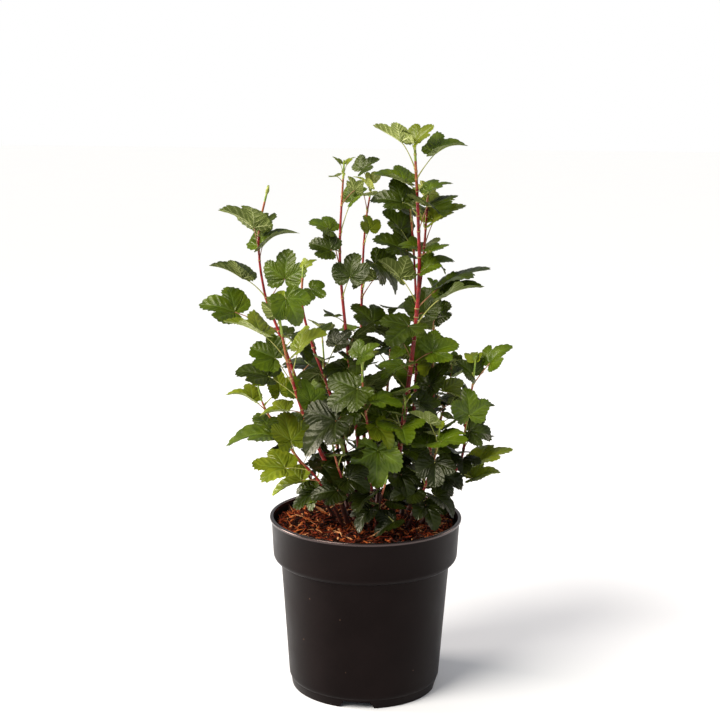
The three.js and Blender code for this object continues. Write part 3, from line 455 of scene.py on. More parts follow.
# Each row holds a stem's points from foot to tip in mm, its thickness at both, the height where its
# leaves start, and their pace up the stem and blade length. A leaf that stands out is given by its
# height, bearing, stalk, rise, blade, aim, pitch and roll, and by its height in "tones". Its tone
# there is partly its own green and partly painted light and shade: a leaf that stands in light takes
# a lighter tone, one in shade a darker, down to "deep". All other leaves follow the rule below, and
# none of them grows between the heights in "open".
SHOOTS = [
    {
        "name": "tall_right", "open": [(504, 516), (524, 540)],
        "line": [(31, -4, 203), (41, -6, 305), (53, -7, 412), (59, -8, 500), (57, -9, 560),
                 (51, -10, 655)],
        "thick": (6.4, 2.6), "leafy": 318, "pace": 21, "seed": 497, "blade": 40, "spurs": 2,
        "tones": {643: "fresh", 640: "fresh", 621: "fresh", 612: "green", 598: "green",
                  586: "green", 570: "dark", 522: "green", 503: "green", 472: "dark", 452: "dark",
                  462: "dark", 440: "green", 400: "green", 394: "green"},
        "shown": [(643, 286, 14, 63, 25, 3, 49, 26), (640, 249, 22, 46, 13, 180, 69, 0),
                  (621, 180, 38, 62, 34, 171, 34, 16), (612, 352, 37, 54, 34, 2, 38, 11),
                  (598, 198, 19, 34, 34, 180, 32, -12), (570, 209, 26, 37, 35, 179, 18, -35),
                  (586, 343, 18, 41, 25, 1, 43, 14), (522, 335, 16, 30, 22, 9, 26, 6),
                  (472, 191, 39, 58, 34, 181, 50, 40), (440, 337, 53, 47, 43, 358, 35, 6),
                  (452, 62, 21, 5, 29, 80, 76, 0), (400, 232, 29, 53, 19, 166, 53, -30),
                  (394, 319, 37, 33, 32, 4, 27, 45), (503, 316, 11, 40, 27, 358, 43, 24),
                  (462, 7, 45, 41, 50, 1, 38, -3)],
    },
    {
        "name": "right_fork", "joins": "tall_right",
        "line": [(58.5, -7.5, 474), (64, 6, 520), (67, 18, 560), (69, 24, 596)],
        "thick": (3.4, 2), "leafy": 500, "pace": 16, "seed": 212, "blade": 29, "spurs": 0,
        "tones": {532: "fresh", 566: "fresh"},
        "shown": [(532, 15, 33, 70, 37, 2, 43, 18), (566, 37, 15, 70, 28, 4, 33, 16)],
    },
    {
        "name": "tall_middle", "open": [(428, 570)],
        "line": [(-4, 0, 203), (-10, -4, 302), (-25, -9, 430), (-33, -14, 524), (-29, -19, 632)],
        "thick": (5, 2), "leafy": 312, "pace": 20, "seed": 131, "blade": 37, "spurs": 1,
        "tones": {505: "green", 528: "dark", 474: "dark", 582: "dark", 548: "green", 614: "fresh",
                  617: "fresh"},
        "shown": [(528, 230, 16, 12, 26, 178, 25, -50), (505, 233, 50, 75, 25, 181, 38, -30),
                  (474, 318, 30, 60, 29, 70, 80, 0), (614, 335, 17, 74, 11, 11, 58, 10),
                  (617, 207, 14, 71, 10, 169, 53, -10), (582, 339, 24, 47, 19, 212, 74, 10),
                  (548, 332, 41, 72, 23, 3, 48, 30)],
    },
    {
        "name": "tall_left", "bare_tip": True, "open": [(436, 500)],
        "line": [(-25, 24, 203), (-38, 29, 244), (-74, 39, 335), (-107, 50, 423), (-124, 55, 468),
                 (-132, 63, 536), (-121, 70, 596)],
        "thick": (5, 1.8), "leafy": 345, "pace": 20, "seed": 397, "blade": 37, "spurs": 1,
        "tones": {520: "green", 522: "dark", 508: "green", 464: "dark", 456: "green", 424: "green"},
        "shown": [(520, 200, 29, 78, 47, 184, 47, 27), (522, 59, 25, 74, 26, 356, 53, 30),
                  (508, 81, 19, 64, 39, 13, 51, 5), (464, 180, 36, 40, 40, 176, 34, 4),
                  (456, 339, 39, 55, 35, 76, 84, 0), (424, 180, 57, 23, 42, 183, 25, -36)],
    },
    {
        "name": "front_left", "open": [(426, 436)],
        "line": [(-20, -22, 203), (-42, -33, 270), (-68, -45, 330), (-87, -57, 390), (-96, -66, 435),
                 (-101, -73, 474)],
        "thick": (5.2, 2.2), "leafy": 300, "pace": 20, "seed": 65, "blade": 38, "spurs": 1,
        "tones": {408: "fresh", 388: "fresh", 440: "green", 448: "green", 374: "green",
                  364: "dark", 344: "fresh", 350: "green", 316: "dark"},
        "shown": [(408, 188, 44, 48, 43, 177, 28, 0), (388, 347, 35, 76, 34, 345, 48, 25),
                  (440, 223, 25, 69, 23, 238, 76, 10), (448, 339, 26, 64, 30, 326, -50, 40),
                  (344, 195, 23, 11, 26, 178, 8, -8), (350, 308, 21, 33, 24, 127, 81, 0),
                  (374, 205, 44, 58, 32, 171, 22, -55), (364, 161, 43, 31, 36, 180, 24, -25),
                  (316, 341, 32, 40, 35, 189, 0, -10)],
    },
    {
        "name": "inner_left", "open": [(430, 460)],
        "line": [(-12, -6, 203), (-19, -8, 265), (-43, -12, 360), (-63, -15, 415), (-76, -17, 465),
                 (-75, -20, 512)],
        "thick": (4.6, 2.2), "leafy": 325, "pace": 18, "seed": 146, "blade": 35, "spurs": 1,
        "tones": {474: "green", 384: "deep"},
        "shown": [(384, 332, 40, 65, 24, 1, 53, 35), (474, 331, 17, 44, 19, 340, -22, 35)],
    },
    {
        "name": "back_middle", "open": [(440, 560)],
        "line": [(0, 24, 203), (-3, 38, 310), (-7, 53, 407), (-7, 63, 476), (-4, 73, 548),
                 (4, 80, 602)],
        "thick": (4.8, 1.9), "leafy": 325, "pace": 20, "seed": 557, "blade": 37, "spurs": 1,
        "tones": {598: "dark", 590: "young", 528: "fresh", 474: "dark", 464: "dark", 428: "dark"},
        "shown": [(598, 180, 22, 57, 23, 355, 49, 36), (528, 360, 20, 68, 18, 122, 82, 0),
                  (474, 332, 37, 62, 37, 358, -30, 30), (428, 338, 18, 26, 31, 166, 52, -30),
                  (590, 212, 8, 63, 19, 195, 53, 0), (464, 306, 36, 46, 29, 148, -12, 20)],
    },
    {
        "name": "back_right", "open": [(470, 480)],
        "line": [(44, 20, 203), (56, 34, 320), (60, 44, 397), (58, 53, 463), (54, 62, 530),
                 (48, 70, 590)],
        "thick": (4.6, 1.9), "leafy": 335, "pace": 20, "seed": 380, "blade": 35, "spurs": 1,
        "tones": {520: "dark", 497: "dark"},
        "shown": [(520, 159, 31, 57, 30, 182, 54, -36), (497, 202, 27, 67, 41, 181, 29, -25)],
    },
    {
        "name": "right_middle",
        "line": [(56, 12, 203), (75, 24, 270), (80, 34, 344), (79, 45, 412), (84, 56, 477)],
        "thick": (4.2, 1.9), "leafy": 300, "pace": 19, "seed": 79, "blade": 37, "spurs": 1,
        "tones": {430: "dark", 354: "dark"},
        "shown": [(430, 281, 17, 53, 25, 6, 55, 40), (354, 254, 26, 27, 35, 9, 60, 26)],
    },
    {
        "name": "far_right", "open": [(340, 368)],
        "line": [(66, -14, 203), (95, -17, 252), (112, -19, 285), (117, -23, 337), (123, -26, 378),
                 (125, -28, 404)],
        "thick": (3.8, 1.8), "leafy": 262, "pace": 16, "seed": 596, "blade": 30, "spurs": 1,
        "tones": {375: "green", 380: "dark", 318: "green", 304: "dark", 276: "fresh", 266: "fresh",
                  312: "fresh"},
        "shown": [(375, 357, 33, 54, 26, 352, 59, 40), (380, 94, 3, 48, 23, 185, 48, -50),
                  (318, 280, 29, 56, 31, 112, 87, 0), (304, 334, 17, 67, 26, 357, -1, 55),
                  (276, 0, 26, 14, 38, 5, 35, 6), (266, 355, 23, -10, 33, 5, 21, 8),
                  (312, 177, 45, -6, 17, 273, 70, 0)],
    },
    {
        "name": "far_left_low",
        "line": [(-38, 8, 203), (-62, 12, 243), (-90, 15, 286), (-116, 17, 325), (-126, 19, 345),
                 (-131, 20, 366)],
        "thick": (3.6, 1.8), "leafy": 270, "pace": 13, "seed": 672, "blade": 32, "spurs": 0,
        "tones": {330: "fresh", 338: "fresh", 294: "green"},
        "shown": [(330, 186, 24, 41, 28, 178, 40, -8), (338, 18, 26, 41, 26, 123, 84, 0),
                  (294, 187, 18, 28, 47, 181, 16, -12)],
    },
    {
        "name": "front_low_left",
        "line": [(-26, -26, 203), (-55, -40, 262), (-76, -49, 288), (-96, -60, 318)],
        "thick": (3.8, 1.8), "leafy": 240, "pace": 11, "seed": 66, "blade": 32, "spurs": 0,
        "tones": {276: "fresh", 262: "fresh", 298: "fresh", 248: "dark", 234: "green"},
        "shown": [(276, 188, 29, 7, 39, 179, 12, -18), (262, 180, 20, -1, 35, 177, -10, -14),
                  (298, 224, 17, 70, 35, 128, 71, 0), (248, 206, 14, 11, 31, 195, -26, -16),
                  (234, 209, 13, 11, 24, 191, -22, -18)],
    },
    {
        "name": "front_short",
        "line": [(6, -30, 203), (6, -44, 303), (0, -52, 338), (-5, -60, 378), (-6, -67, 412)],
        "thick": (3.6, 1.8), "leafy": 245, "pace": 11, "seed": 76, "blade": 32, "spurs": 1,
        "tones": {388: "green", 368: "dark", 290: "green", 316: "fresh"},
        "shown": [(388, 233, 22, 77, 23, 1, 46, 40), (368, 226, 15, 42, 38, 203, -21, -30),
                  (290, 319, 17, 46, 38, 259, -60, 0), (316, 313, 19, 54, 26, 326, -35, 20)],
    },
    {
        "name": "low_front",
        "line": [(12, -40, 203), (16, -56, 240), (24, -66, 275)],
        "thick": (3.2, 1.8), "leafy": 212, "pace": 7, "seed": 60, "blade": 30, "spurs": 0,
        "tones": {218: "deep", 224: "deep", 234: "deep"},
        "shown": [(218, 325, 23, -23, 25, 207, -17, -20), (224, 200, 18, 35, 28, 215, -34, 0),
                  (234, 20, 16, 40, 26, 20, 0, 34)],
    },
    {
        "name": "low_right",
        "line": [(50, -30, 203), (66, -44, 250), (80, -52, 300), (84, -56, 330)],
        "thick": (3.8, 1.8), "leafy": 222, "pace": 8, "seed": 45, "blade": 34, "spurs": 0,
        "tones": {232: "deep", 246: "deep", 284: "deep"},
        "shown": [(232, 300, 20, 20, 30, 300, -38, 0), (246, 200, 16, 40, 28, 200, -10, -42),
                  (262, 350, 18, 30, 30, 350, -5, 38), (284, 280, 16, 30, 30, 270, -48, 0)],
    },
    {
        "name": "low_middle",
        "line": [(26, -24, 203), (34, -34, 260), (42, -44, 320), (44, -50, 360)],
        "thick": (4, 1.9), "leafy": 228, "pace": 9, "seed": 716, "blade": 34, "spurs": 0,
        "tones": {258: "deep", 292: "dark"},
        "shown": [(258, 320, 18, 30, 28, 300, -40, 0), (292, 331, 16, 39, 26, 0, -11, 34)],
    },
    {
        "name": "low_left",
        "line": [(-8, -34, 203), (-20, -52, 245), (-34, -64, 290), (-40, -70, 318)],
        "thick": (3.4, 1.8), "leafy": 218, "pace": 8, "seed": 282, "blade": 30, "spurs": 0,
        "tones": {300: "deep"},
        "shown": [(242, 190, 16, 30, 28, 190, 0, -38), (266, 320, 16, 30, 28, 330, -10, 34),
                  (300, 313, 35, 67, 46, 204, -27, -24)],
    },
    {
        "name": "rear_left", "open": [(355, 392)],
        "line": [(-22, 42, 203), (-34, 62, 270), (-50, 88, 350), (-56, 104, 408)],
        "thick": (4.4, 1.9), "leafy": 250, "pace": 12, "seed": 104, "blade": 37, "spurs": 1,
        "shown": [],
    },
    {
        "name": "rear_middle",
        "line": [(14, 46, 203), (20, 72, 280), (28, 100, 370), (30, 112, 420)],
        "thick": (4.6, 1.9), "leafy": 245, "pace": 12, "seed": 717, "blade": 38, "spurs": 1,
        "shown": [],
    },
    {
        "name": "rear_right",
        "line": [(52, 38, 203), (74, 58, 262), (98, 82, 330), (108, 94, 382)],
        "thick": (4.2, 1.9), "leafy": 240, "pace": 11, "seed": 604, "blade": 35, "spurs": 1,
        "shown": [],
    },
]
RULE = {
    "turn": 137.5,  # degrees from one leaf to the next
    "tries": 9,  # places that a leaf is tried in before it is left out
    "retry_turn": 37,  # added to a leaf's bearing when it finds no room
    "nudges": (0, 14, -14, 28, -28, 42, -42, 56, -56),  # swings of a leaf that stands out
    "lifts": (0, 6, -6, 12),  # and how far it may move along the stem
    "spur_leaves": 3,
    "spur_rise": 55,  # degrees above the level
    "spur_node": 0.88,  # how far along a spur its leaves stand
}
LEAF_CLEAR, TWIG_CLEAR, STALK = 1.3, 1.0, 0.85  # gaps to leaves and to twigs, a stalk's radius
# No leaf hangs lower than this, and below the lip's top it stays this near the pot's axis.
LOWEST_LEAF, OVER_LIP, WITHIN_LIP = MULCH_TOP + 3, POT_HEIGHT + 2, 98.8
DRAW_START, DRAW_STEP, DRAW_SHIFT, DRAW_SPAN = 7919, 1664525, 1013904223, 2**32
FOLD, CURL, DROOP = 0.24, 0.12, 0.26  # how a blade is folded, hollowed and bent, for its length


def chance(seed):
    """Even chances between 0 and 1 in a fixed order, drawn as in the part's source."""
    state = seed * DRAW_START

    def draw():
        nonlocal state
        state = (state * DRAW_STEP + DRAW_SHIFT) % DRAW_SPAN
        return state / DRAW_SPAN

    return draw


def mix(a, b, share):
    """A value part of the way from one to another."""
    return a + (b - a) * share


def direction(bearing, rise):
    """A unit step at a bearing from the X axis and a rise above the level, in degrees."""
    b, r = math.radians(bearing), math.radians(rise)
    return np.array([math.cos(b) * math.cos(r), math.sin(b) * math.cos(r), math.sin(r)])


def stem_point(shoot, z):
    """The middle of a stem at a height: x and y follow the height smoothly through its points."""
    line = shoot["line"]
    i = 0
    while i < len(line) - 2 and z > line[i + 1][2]:
        i += 1
    h = line[i + 1][2] - line[i][2]
    t = (z - line[i][2]) / h

    def slope(k, axis):
        a, b = line[max(k - 1, 0)], line[min(k + 1, len(line) - 1)]
        return (b[axis] - a[axis]) / (b[2] - a[2])

    at = [
        line[i][a] * (1 + 2 * t) * (1 - t) ** 2
        + slope(i, a) * h * t * (1 - t) ** 2
        + line[i + 1][a] * t * t * (3 - 2 * t)
        + slope(i + 1, a) * h * t * t * (t - 1)
        for a in (0, 1)
    ]
    return np.array([*at, z])


def stem_radius(shoot, z):
    """A stem's radius at a height: it tapers to the tip and flares at the foot."""
    foot, tip = shoot["line"][0][2], shoot["line"][-1][2]
    flare = 0 if "joins" in shoot else 0.5 * math.exp(-(z - foot) / 7)
    return mix(*shoot["thick"], (z - foot) / (tip - foot)) / 2 * (1 + flare)


def blade_axes(leaf):
    """A blade's own directions: along its midrib, across it, and up from its upper side."""
    along = direction(leaf["aim"], leaf["pitch"])
    flat_across = direction(leaf["aim"] - 90, 0)
    roll = math.radians(leaf["roll"])
    up = np.cross(flat_across, along) * math.cos(roll) + flat_across * math.sin(roll)
    return along, np.cross(up, along), up


def on_blade(leaf, u, v):
    """Places on a blade's middle surface, from shares of its length along and across."""
    rise = FOLD * np.abs(v) - CURL * v * v - DROOP * u * np.abs(u)
    along, across, up = leaf["axes"]
    return leaf["neck"] + leaf["blade"] * (
        np.multiply.outer(u, along) + np.multiply.outer(v, across) + np.multiply.outer(rise, up)
    )


# A leaf's plain outline, as in the solids: bearings in degrees and reaches in leaf lengths.
LOBES = ((-114, 0.62), (-54, 0.86), (-28, 0.72), (0, 1), (28, 0.72), (54, 0.86), (114, 0.62))
LOBE_U = np.array([reach * math.cos(math.radians(turn)) for turn, reach in LOBES])
LOBE_V = np.array([reach * math.sin(math.radians(turn)) for turn, reach in LOBES])


def hang(leaf):
    """Puts a leaf on its stalk and lays its plain outline: seven rim points, the neck, the heart."""
    leaf["neck"] = leaf["root"] + direction(leaf["bearing"], leaf["rise"]) * leaf["stalk"]
    leaf["axes"] = blade_axes(leaf)
    leaf["rim"] = np.vstack([on_blade(leaf, LOBE_U, LOBE_V), leaf["neck"]])
    leaf["heart"] = on_blade(leaf, np.array([0.3]), np.zeros(1))[0]
    return leaf


def dot(a, b):
    """The scalar product of two vectors, or of two equal arrays of them."""
    return (a * b).sum(-1)


def cuts(a, b, p, q, r, clear):
    """Whether segments a to b pass triangles p, q, r closer than clear."""
    e1, e2 = q - p, r - p
    n = np.cross(e1, e2)
    n = n / np.linalg.norm(n, axis=-1, keepdims=True)
    da, db = dot(a - p, n), dot(b - p, n)
    d11, d12, d22 = dot(e1, e1), dot(e1, e2), dot(e2, e2)
    scale = d11 * d22 - d12 * d12

    def inside(t):
        w = a + (b - a) * t[..., None] - p
        w1, w2 = dot(w, e1), dot(w, e2)
        s1, s2 = (d22 * w1 - d12 * w2) / scale, (d11 * w2 - d12 * w1) / scale
        return (s1 > -0.04) & (s2 > -0.04) & (s1 + s2 < 1.04)

    hit = np.zeros(da.shape, bool)
    for k in range(5):
        t = np.full(da.shape, k / 4)
        hit |= (np.abs(mix(da, db, t)) <= clear) & inside(t)
    crossing = da * db < 0
    t = np.where(crossing, da / np.where(crossing, da - db, 1), 0)
    return hit | (crossing & inside(t))


def apart(a, b, c, d):
    """The least distance between straight segments, found by looking along each of them."""
    u, v, w = b - a, d - c, a - c
    uu, uv, vv, uw, vw = dot(u, u), dot(u, v), dot(v, v), dot(u, w), dot(v, w)
    scale = uu * vv - uv * uv
    flat = scale > 1e-9
    s = np.where(flat, np.clip((uv * vw - vv * uw) / np.where(flat, scale, 1), 0, 1), 0)
    t = np.clip((uv * s + vw) / vv, 0, 1)
    s = np.clip((uv * t - uw) / uu, 0, 1)
    return np.linalg.norm(a + u * s[..., None] - c - v * t[..., None], axis=-1)


# What a new leaf has to keep clear of: the blades so far, and the stems, twigs and stalks.
blades, rods = [], []


def fan_edges(rim, heart):
    """A fan's edges as two arrays of ends: round its rim, then from its heart."""
    rim_next = np.roll(rim, -1, axis=-2)
    hearts = np.broadcast_to(heart[..., None, :], rim.shape)
    return np.concatenate([rim, hearts], -2), np.concatenate([rim_next, rim], -2)


def fan_triangles(rim, heart):
    """A fan's triangles as three arrays of corners."""
    return np.broadcast_to(heart[..., None, :], rim.shape), rim, np.roll(rim, -1, axis=-2)


def crosses(ends, triangles, clear):
    """Whether any of some segments passes any of some triangles closer than clear."""
    a, b = (x.reshape(-1, 1, 3) for x in ends)
    p, q, r = (x.reshape(1, -1, 3) for x in triangles)
    return bool(cuts(a, b, p, q, r, clear).any())


def leaf_fits(leaf):
    """Whether a leaf keeps clear of the mulch, the pot and everything that has grown so far."""
    rim, heart, neck = leaf["rim"], leaf["heart"], leaf["neck"]
    tight = 0.85 if leaf.get("shown") else 1  # a leaf that stands out may sit a little closer
    out, up = np.hypot(rim[:, 0], rim[:, 1]), rim[:, 2]
    if not ((up > LOWEST_LEAF) & ((up > OVER_LIP) | (out < WITHIN_LIP))).all():
        return False
    near = [b for b in blades if np.linalg.norm(b["heart"] - heart) < b["blade"] + leaf["blade"]]
    if near:
        rims, hearts = np.array([b["rim"] for b in near]), np.array([b["heart"] for b in near])
        triangles = fan_triangles(rims, hearts)
        if crosses(fan_edges(rim, heart), triangles, LEAF_CLEAR * tight):
            return False
        if crosses(fan_edges(rims, hearts), fan_triangles(rim, heart), LEAF_CLEAR * tight):
            return False
        if crosses((leaf["root"], neck), triangles, STALK + TWIG_CLEAR):
            return False
    close = [r for r in rods if np.linalg.norm(r["a"] - neck) <= 130]
    if not close:
        return True
    a, b = np.array([r["a"] for r in close]), np.array([r["b"] for r in close])
    radius = np.array([r["radius"] for r in close])
    own = np.array([r["stem"] == leaf["stem"] for r in close])
    p, q, r = (x[None] for x in fan_triangles(rim, heart))
    if cuts(a[:, None], b[:, None], p, q, r, (radius + TWIG_CLEAR)[:, None]).any():
        return False
    rim_gap = apart(rim[None], np.roll(rim, -1, 0)[None], a[:, None], b[:, None])
    if (rim_gap < (radius + TWIG_CLEAR * tight)[:, None]).any():
        return False
    start = np.where(own[:, None], mix(leaf["root"], neck, 0.35), leaf["root"])
    stalk_gap = apart(start, np.broadcast_to(neck, a.shape), a, b)
    skip = own & bool(leaf.get("shown"))
    return not ((stalk_gap < radius + STALK + TWIG_CLEAR * tight) & ~skip).any()


def keep(leaf):
    """Counts a leaf and its stalk among the things to keep clear of."""
    blades.append(leaf)
    rods.append({"a": leaf["root"], "b": leaf["neck"], "radius": STALK, "stem": leaf["stem"]})


def shown_leaves(shoot):
    """The leaves that stand out come first. A stalk may swing a little to find room."""
    found = []
    keys = ("z", "bearing", "stalk", "rise", "blade", "aim", "pitch", "roll")
    for row in shoot["shown"]:
        wish = {**dict(zip(keys, row)), "stem": shoot["name"], "shown": True}
        for lift, nudge in ((lift, nudge) for lift in RULE["lifts"] for nudge in RULE["nudges"]):
            root = stem_point(shoot, max(wish["z"] + lift, shoot["leafy"] + 4))
            leaf = hang({**wish, "root": root, "bearing": wish["bearing"] + nudge})
            if leaf_fits(leaf):
                keep(leaf)
                found.append(leaf)
                break
    return found


def ruled_leaves(shoot):
    """The others turn round the stem, larger up to two thirds of the way and small at the tip."""
    draw = chance(shoot["seed"])
    tip, leafy = shoot["line"][-1][2], shoot["leafy"]
    end = tip - 60 if shoot.get("bare_tip") else tip - 3
    found = []
    z, turn = leafy + 4, 360 * draw()
    while z < end:
        share = (z - leafy) / (tip - leafy)
        size = mix(0.78, 1, share / 0.6) if share < 0.6 else mix(1, 0.5, ((share - 0.6) / 0.4) ** 1.4)
        blade = shoot["blade"] * size * (0.88 + 0.24 * draw())
        wish = {
            "stem": shoot["name"],
            "z": z,
            "root": stem_point(shoot, z),
            "blade": blade,
            "bearing": turn + 30 * (draw() - 0.5),
            "stalk": blade * (0.55 + 0.4 * draw()),
            "rise": 26 + 46 * share + 16 * (draw() - 0.5),
            "aim": 50 * (draw() - 0.5),
            "pitch": -26 + 62 * share + 30 * (draw() - 0.5),
            "roll": 44 * (draw() - 0.5),
        }
        taken = any(abs(row[0] - z) < shoot["pace"] * 0.3 for row in shoot["shown"])
        taken = taken or any(low < z < high for low, high in shoot.get("open", ()))
        for t in range(0 if taken else RULE["tries"]):
            bearing = wish["bearing"] + RULE["retry_turn"] * t
            aim, rise = bearing + wish["aim"], wish["rise"] + 5 * t
            leaf = hang({**wish, "bearing": bearing, "aim": aim, "rise": rise})
            if leaf_fits(leaf):
                keep(leaf)
                found.append(leaf)
                break
        turn += RULE["turn"]
        z += shoot["pace"] * (0.5 if share > 0.8 else 1) * (0.85 + 0.3 * draw())
    return found


def spur_twigs(shoot):
    """A spur is a short side twig with a tuft of small young leaves."""
    draw = chance(shoot["seed"] + 1000)
    tip = shoot["line"][-1][2]
    found = []
    for k in range(shoot["spurs"]):
        z = mix(shoot["leafy"], tip, 0.12 + 0.5 * draw())
        bearing, length = 360 * draw(), 16 + 12 * draw()
        root = stem_point(shoot, z)
        top = root + direction(bearing, RULE["spur_rise"]) * length
        name, node, leaves = f"{shoot['name']} spur {k}", mix(root, top, RULE["spur_node"]), []
        for j in range(RULE["spur_leaves"]):
            blade = 14 + 7 * draw()
            rise, aim = 45 + 20 * draw(), bearing + 120 * j + 20 * draw()
            leaf = {"stem": name, "z": z, "root": node, "blade": blade, "stalk": blade * 0.5,
                    "bearing": bearing + 120 * j, "rise": rise, "aim": aim,
                    "pitch": 10 + 30 * draw(), "roll": 20 * (draw() - 0.5)}
            if leaf_fits(hang(leaf)):
                leaves.append(leaf)
        others = [r for r in rods if r["stem"] != shoot["name"]]
        a, b = np.array([r["a"] for r in others]), np.array([r["b"] for r in others])
        room = np.array([r["radius"] for r in others]) + STALK + TWIG_CLEAR
        gap = apart(np.broadcast_to(root, a.shape), np.broadcast_to(top, a.shape), a, b)
        rims, hearts = np.array([o["rim"] for o in blades]), np.array([o["heart"] for o in blades])
        met = crosses((root, top), fan_triangles(rims, hearts), STALK + TWIG_CLEAR)
        if (gap < room).any() or met or not leaves:
            continue
        rods.append({"a": root, "b": top, "radius": STALK * 1.2, "stem": name})
        for leaf in leaves:
            keep(leaf)
        found.append({"root": root, "top": top, "leaves": leaves})
    return found


# The stems come first, then the leaves that stand out on all of them, the others and the spurs.
for shoot in SHOOTS:
    foot, tip = shoot["line"][0][2], shoot["line"][-1][2]
    pieces = math.ceil((tip - foot) / 20)
    for i in range(pieces):
        low, high = mix(foot, tip, i / pieces), mix(foot, tip, (i + 1) / pieces)
        rods.append({"a": stem_point(shoot, low), "b": stem_point(shoot, high),
                     "radius": stem_radius(shoot, low), "stem": shoot["name"]})
for shoot in SHOOTS:
    shoot["leaves"] = shown_leaves(shoot)
for shoot in SHOOTS:
    shoot["leaves"] += ruled_leaves(shoot)
for shoot in SHOOTS:
    shoot["twigs"] = spur_twigs(shoot)

# The small leaves
# Finer growth by the same rule: a tuft of folded young leaves at each tip, and small leaves on
# short stalks all the way up from the foot. Each is kept only where it finds room.
TUFT_BLADES, AXIL_TURN = (16, 14, 12, 10, 9, 7), 67  # blade lengths, degrees to the next try
CROWDED = 0.45  # below this share of its leafy height a stem carries more and larger small leaves
sprout_rng = np.random.default_rng(77)
for shoot in SHOOTS:
    shoot["tuft"], shoot["axils"] = [], []
    tip, leafy = shoot["line"][-1][2], shoot["leafy"]
    start = 360 * sprout_rng.random()
    for k, length in enumerate(() if shoot.get("bare_tip") else TUFT_BLADES):
        blade = length * sprout_rng.uniform(0.85, 1.15)
        bearing = start + RULE["turn"] * k
        leaf = {
            "stem": shoot["name"],
            "z": tip,
            "root": stem_point(shoot, tip - 9 + 1.6 * k),
            "blade": blade,
            "bearing": bearing,
            "rise": sprout_rng.uniform(48, 72) + 2 * k,
            "stalk": blade * sprout_rng.uniform(0.4, 0.75),
            "aim": bearing + sprout_rng.normal(0, 14),
            "pitch": sprout_rng.uniform(42, 66) + 4 * k,
            "roll": sprout_rng.normal(0, 12),
            "shown": True,
        }
        if leaf_fits(hang(leaf)):
            keep(leaf)
            shoot["tuft"].append(leaf)
    z, turn = shoot["line"][0][2] + 14, 360 * sprout_rng.random()
    while z < tip - (64 if shoot.get("bare_tip") else 14):
        high = (z - leafy) / (tip - leafy)
        for _ in range(3 if high < CROWDED or sprout_rng.random() < 0.4 else 0):
            blade = sprout_rng.uniform(9, 21) * (1 if high < CROWDED else 0.6)
            leaf = {
                "stem": shoot["name"],
                "z": z,
                "root": stem_point(shoot, z),
                "blade": blade,
                "bearing": turn,
                "rise": sprout_rng.uniform(30, 65),
                "stalk": blade * sprout_rng.uniform(0.5, 1.1),
                "aim": turn + sprout_rng.normal(0, 20),
                "pitch": sprout_rng.uniform(-10, 45),
                "roll": sprout_rng.normal(0, 18),
            }
            if leaf_fits(hang(leaf)):
                keep(leaf)
                shoot["axils"].append(leaf)
                break
            turn += AXIL_TURN
        turn += RULE["turn"]
        z += shoot["pace"] * sprout_rng.uniform(0.5, 0.8)

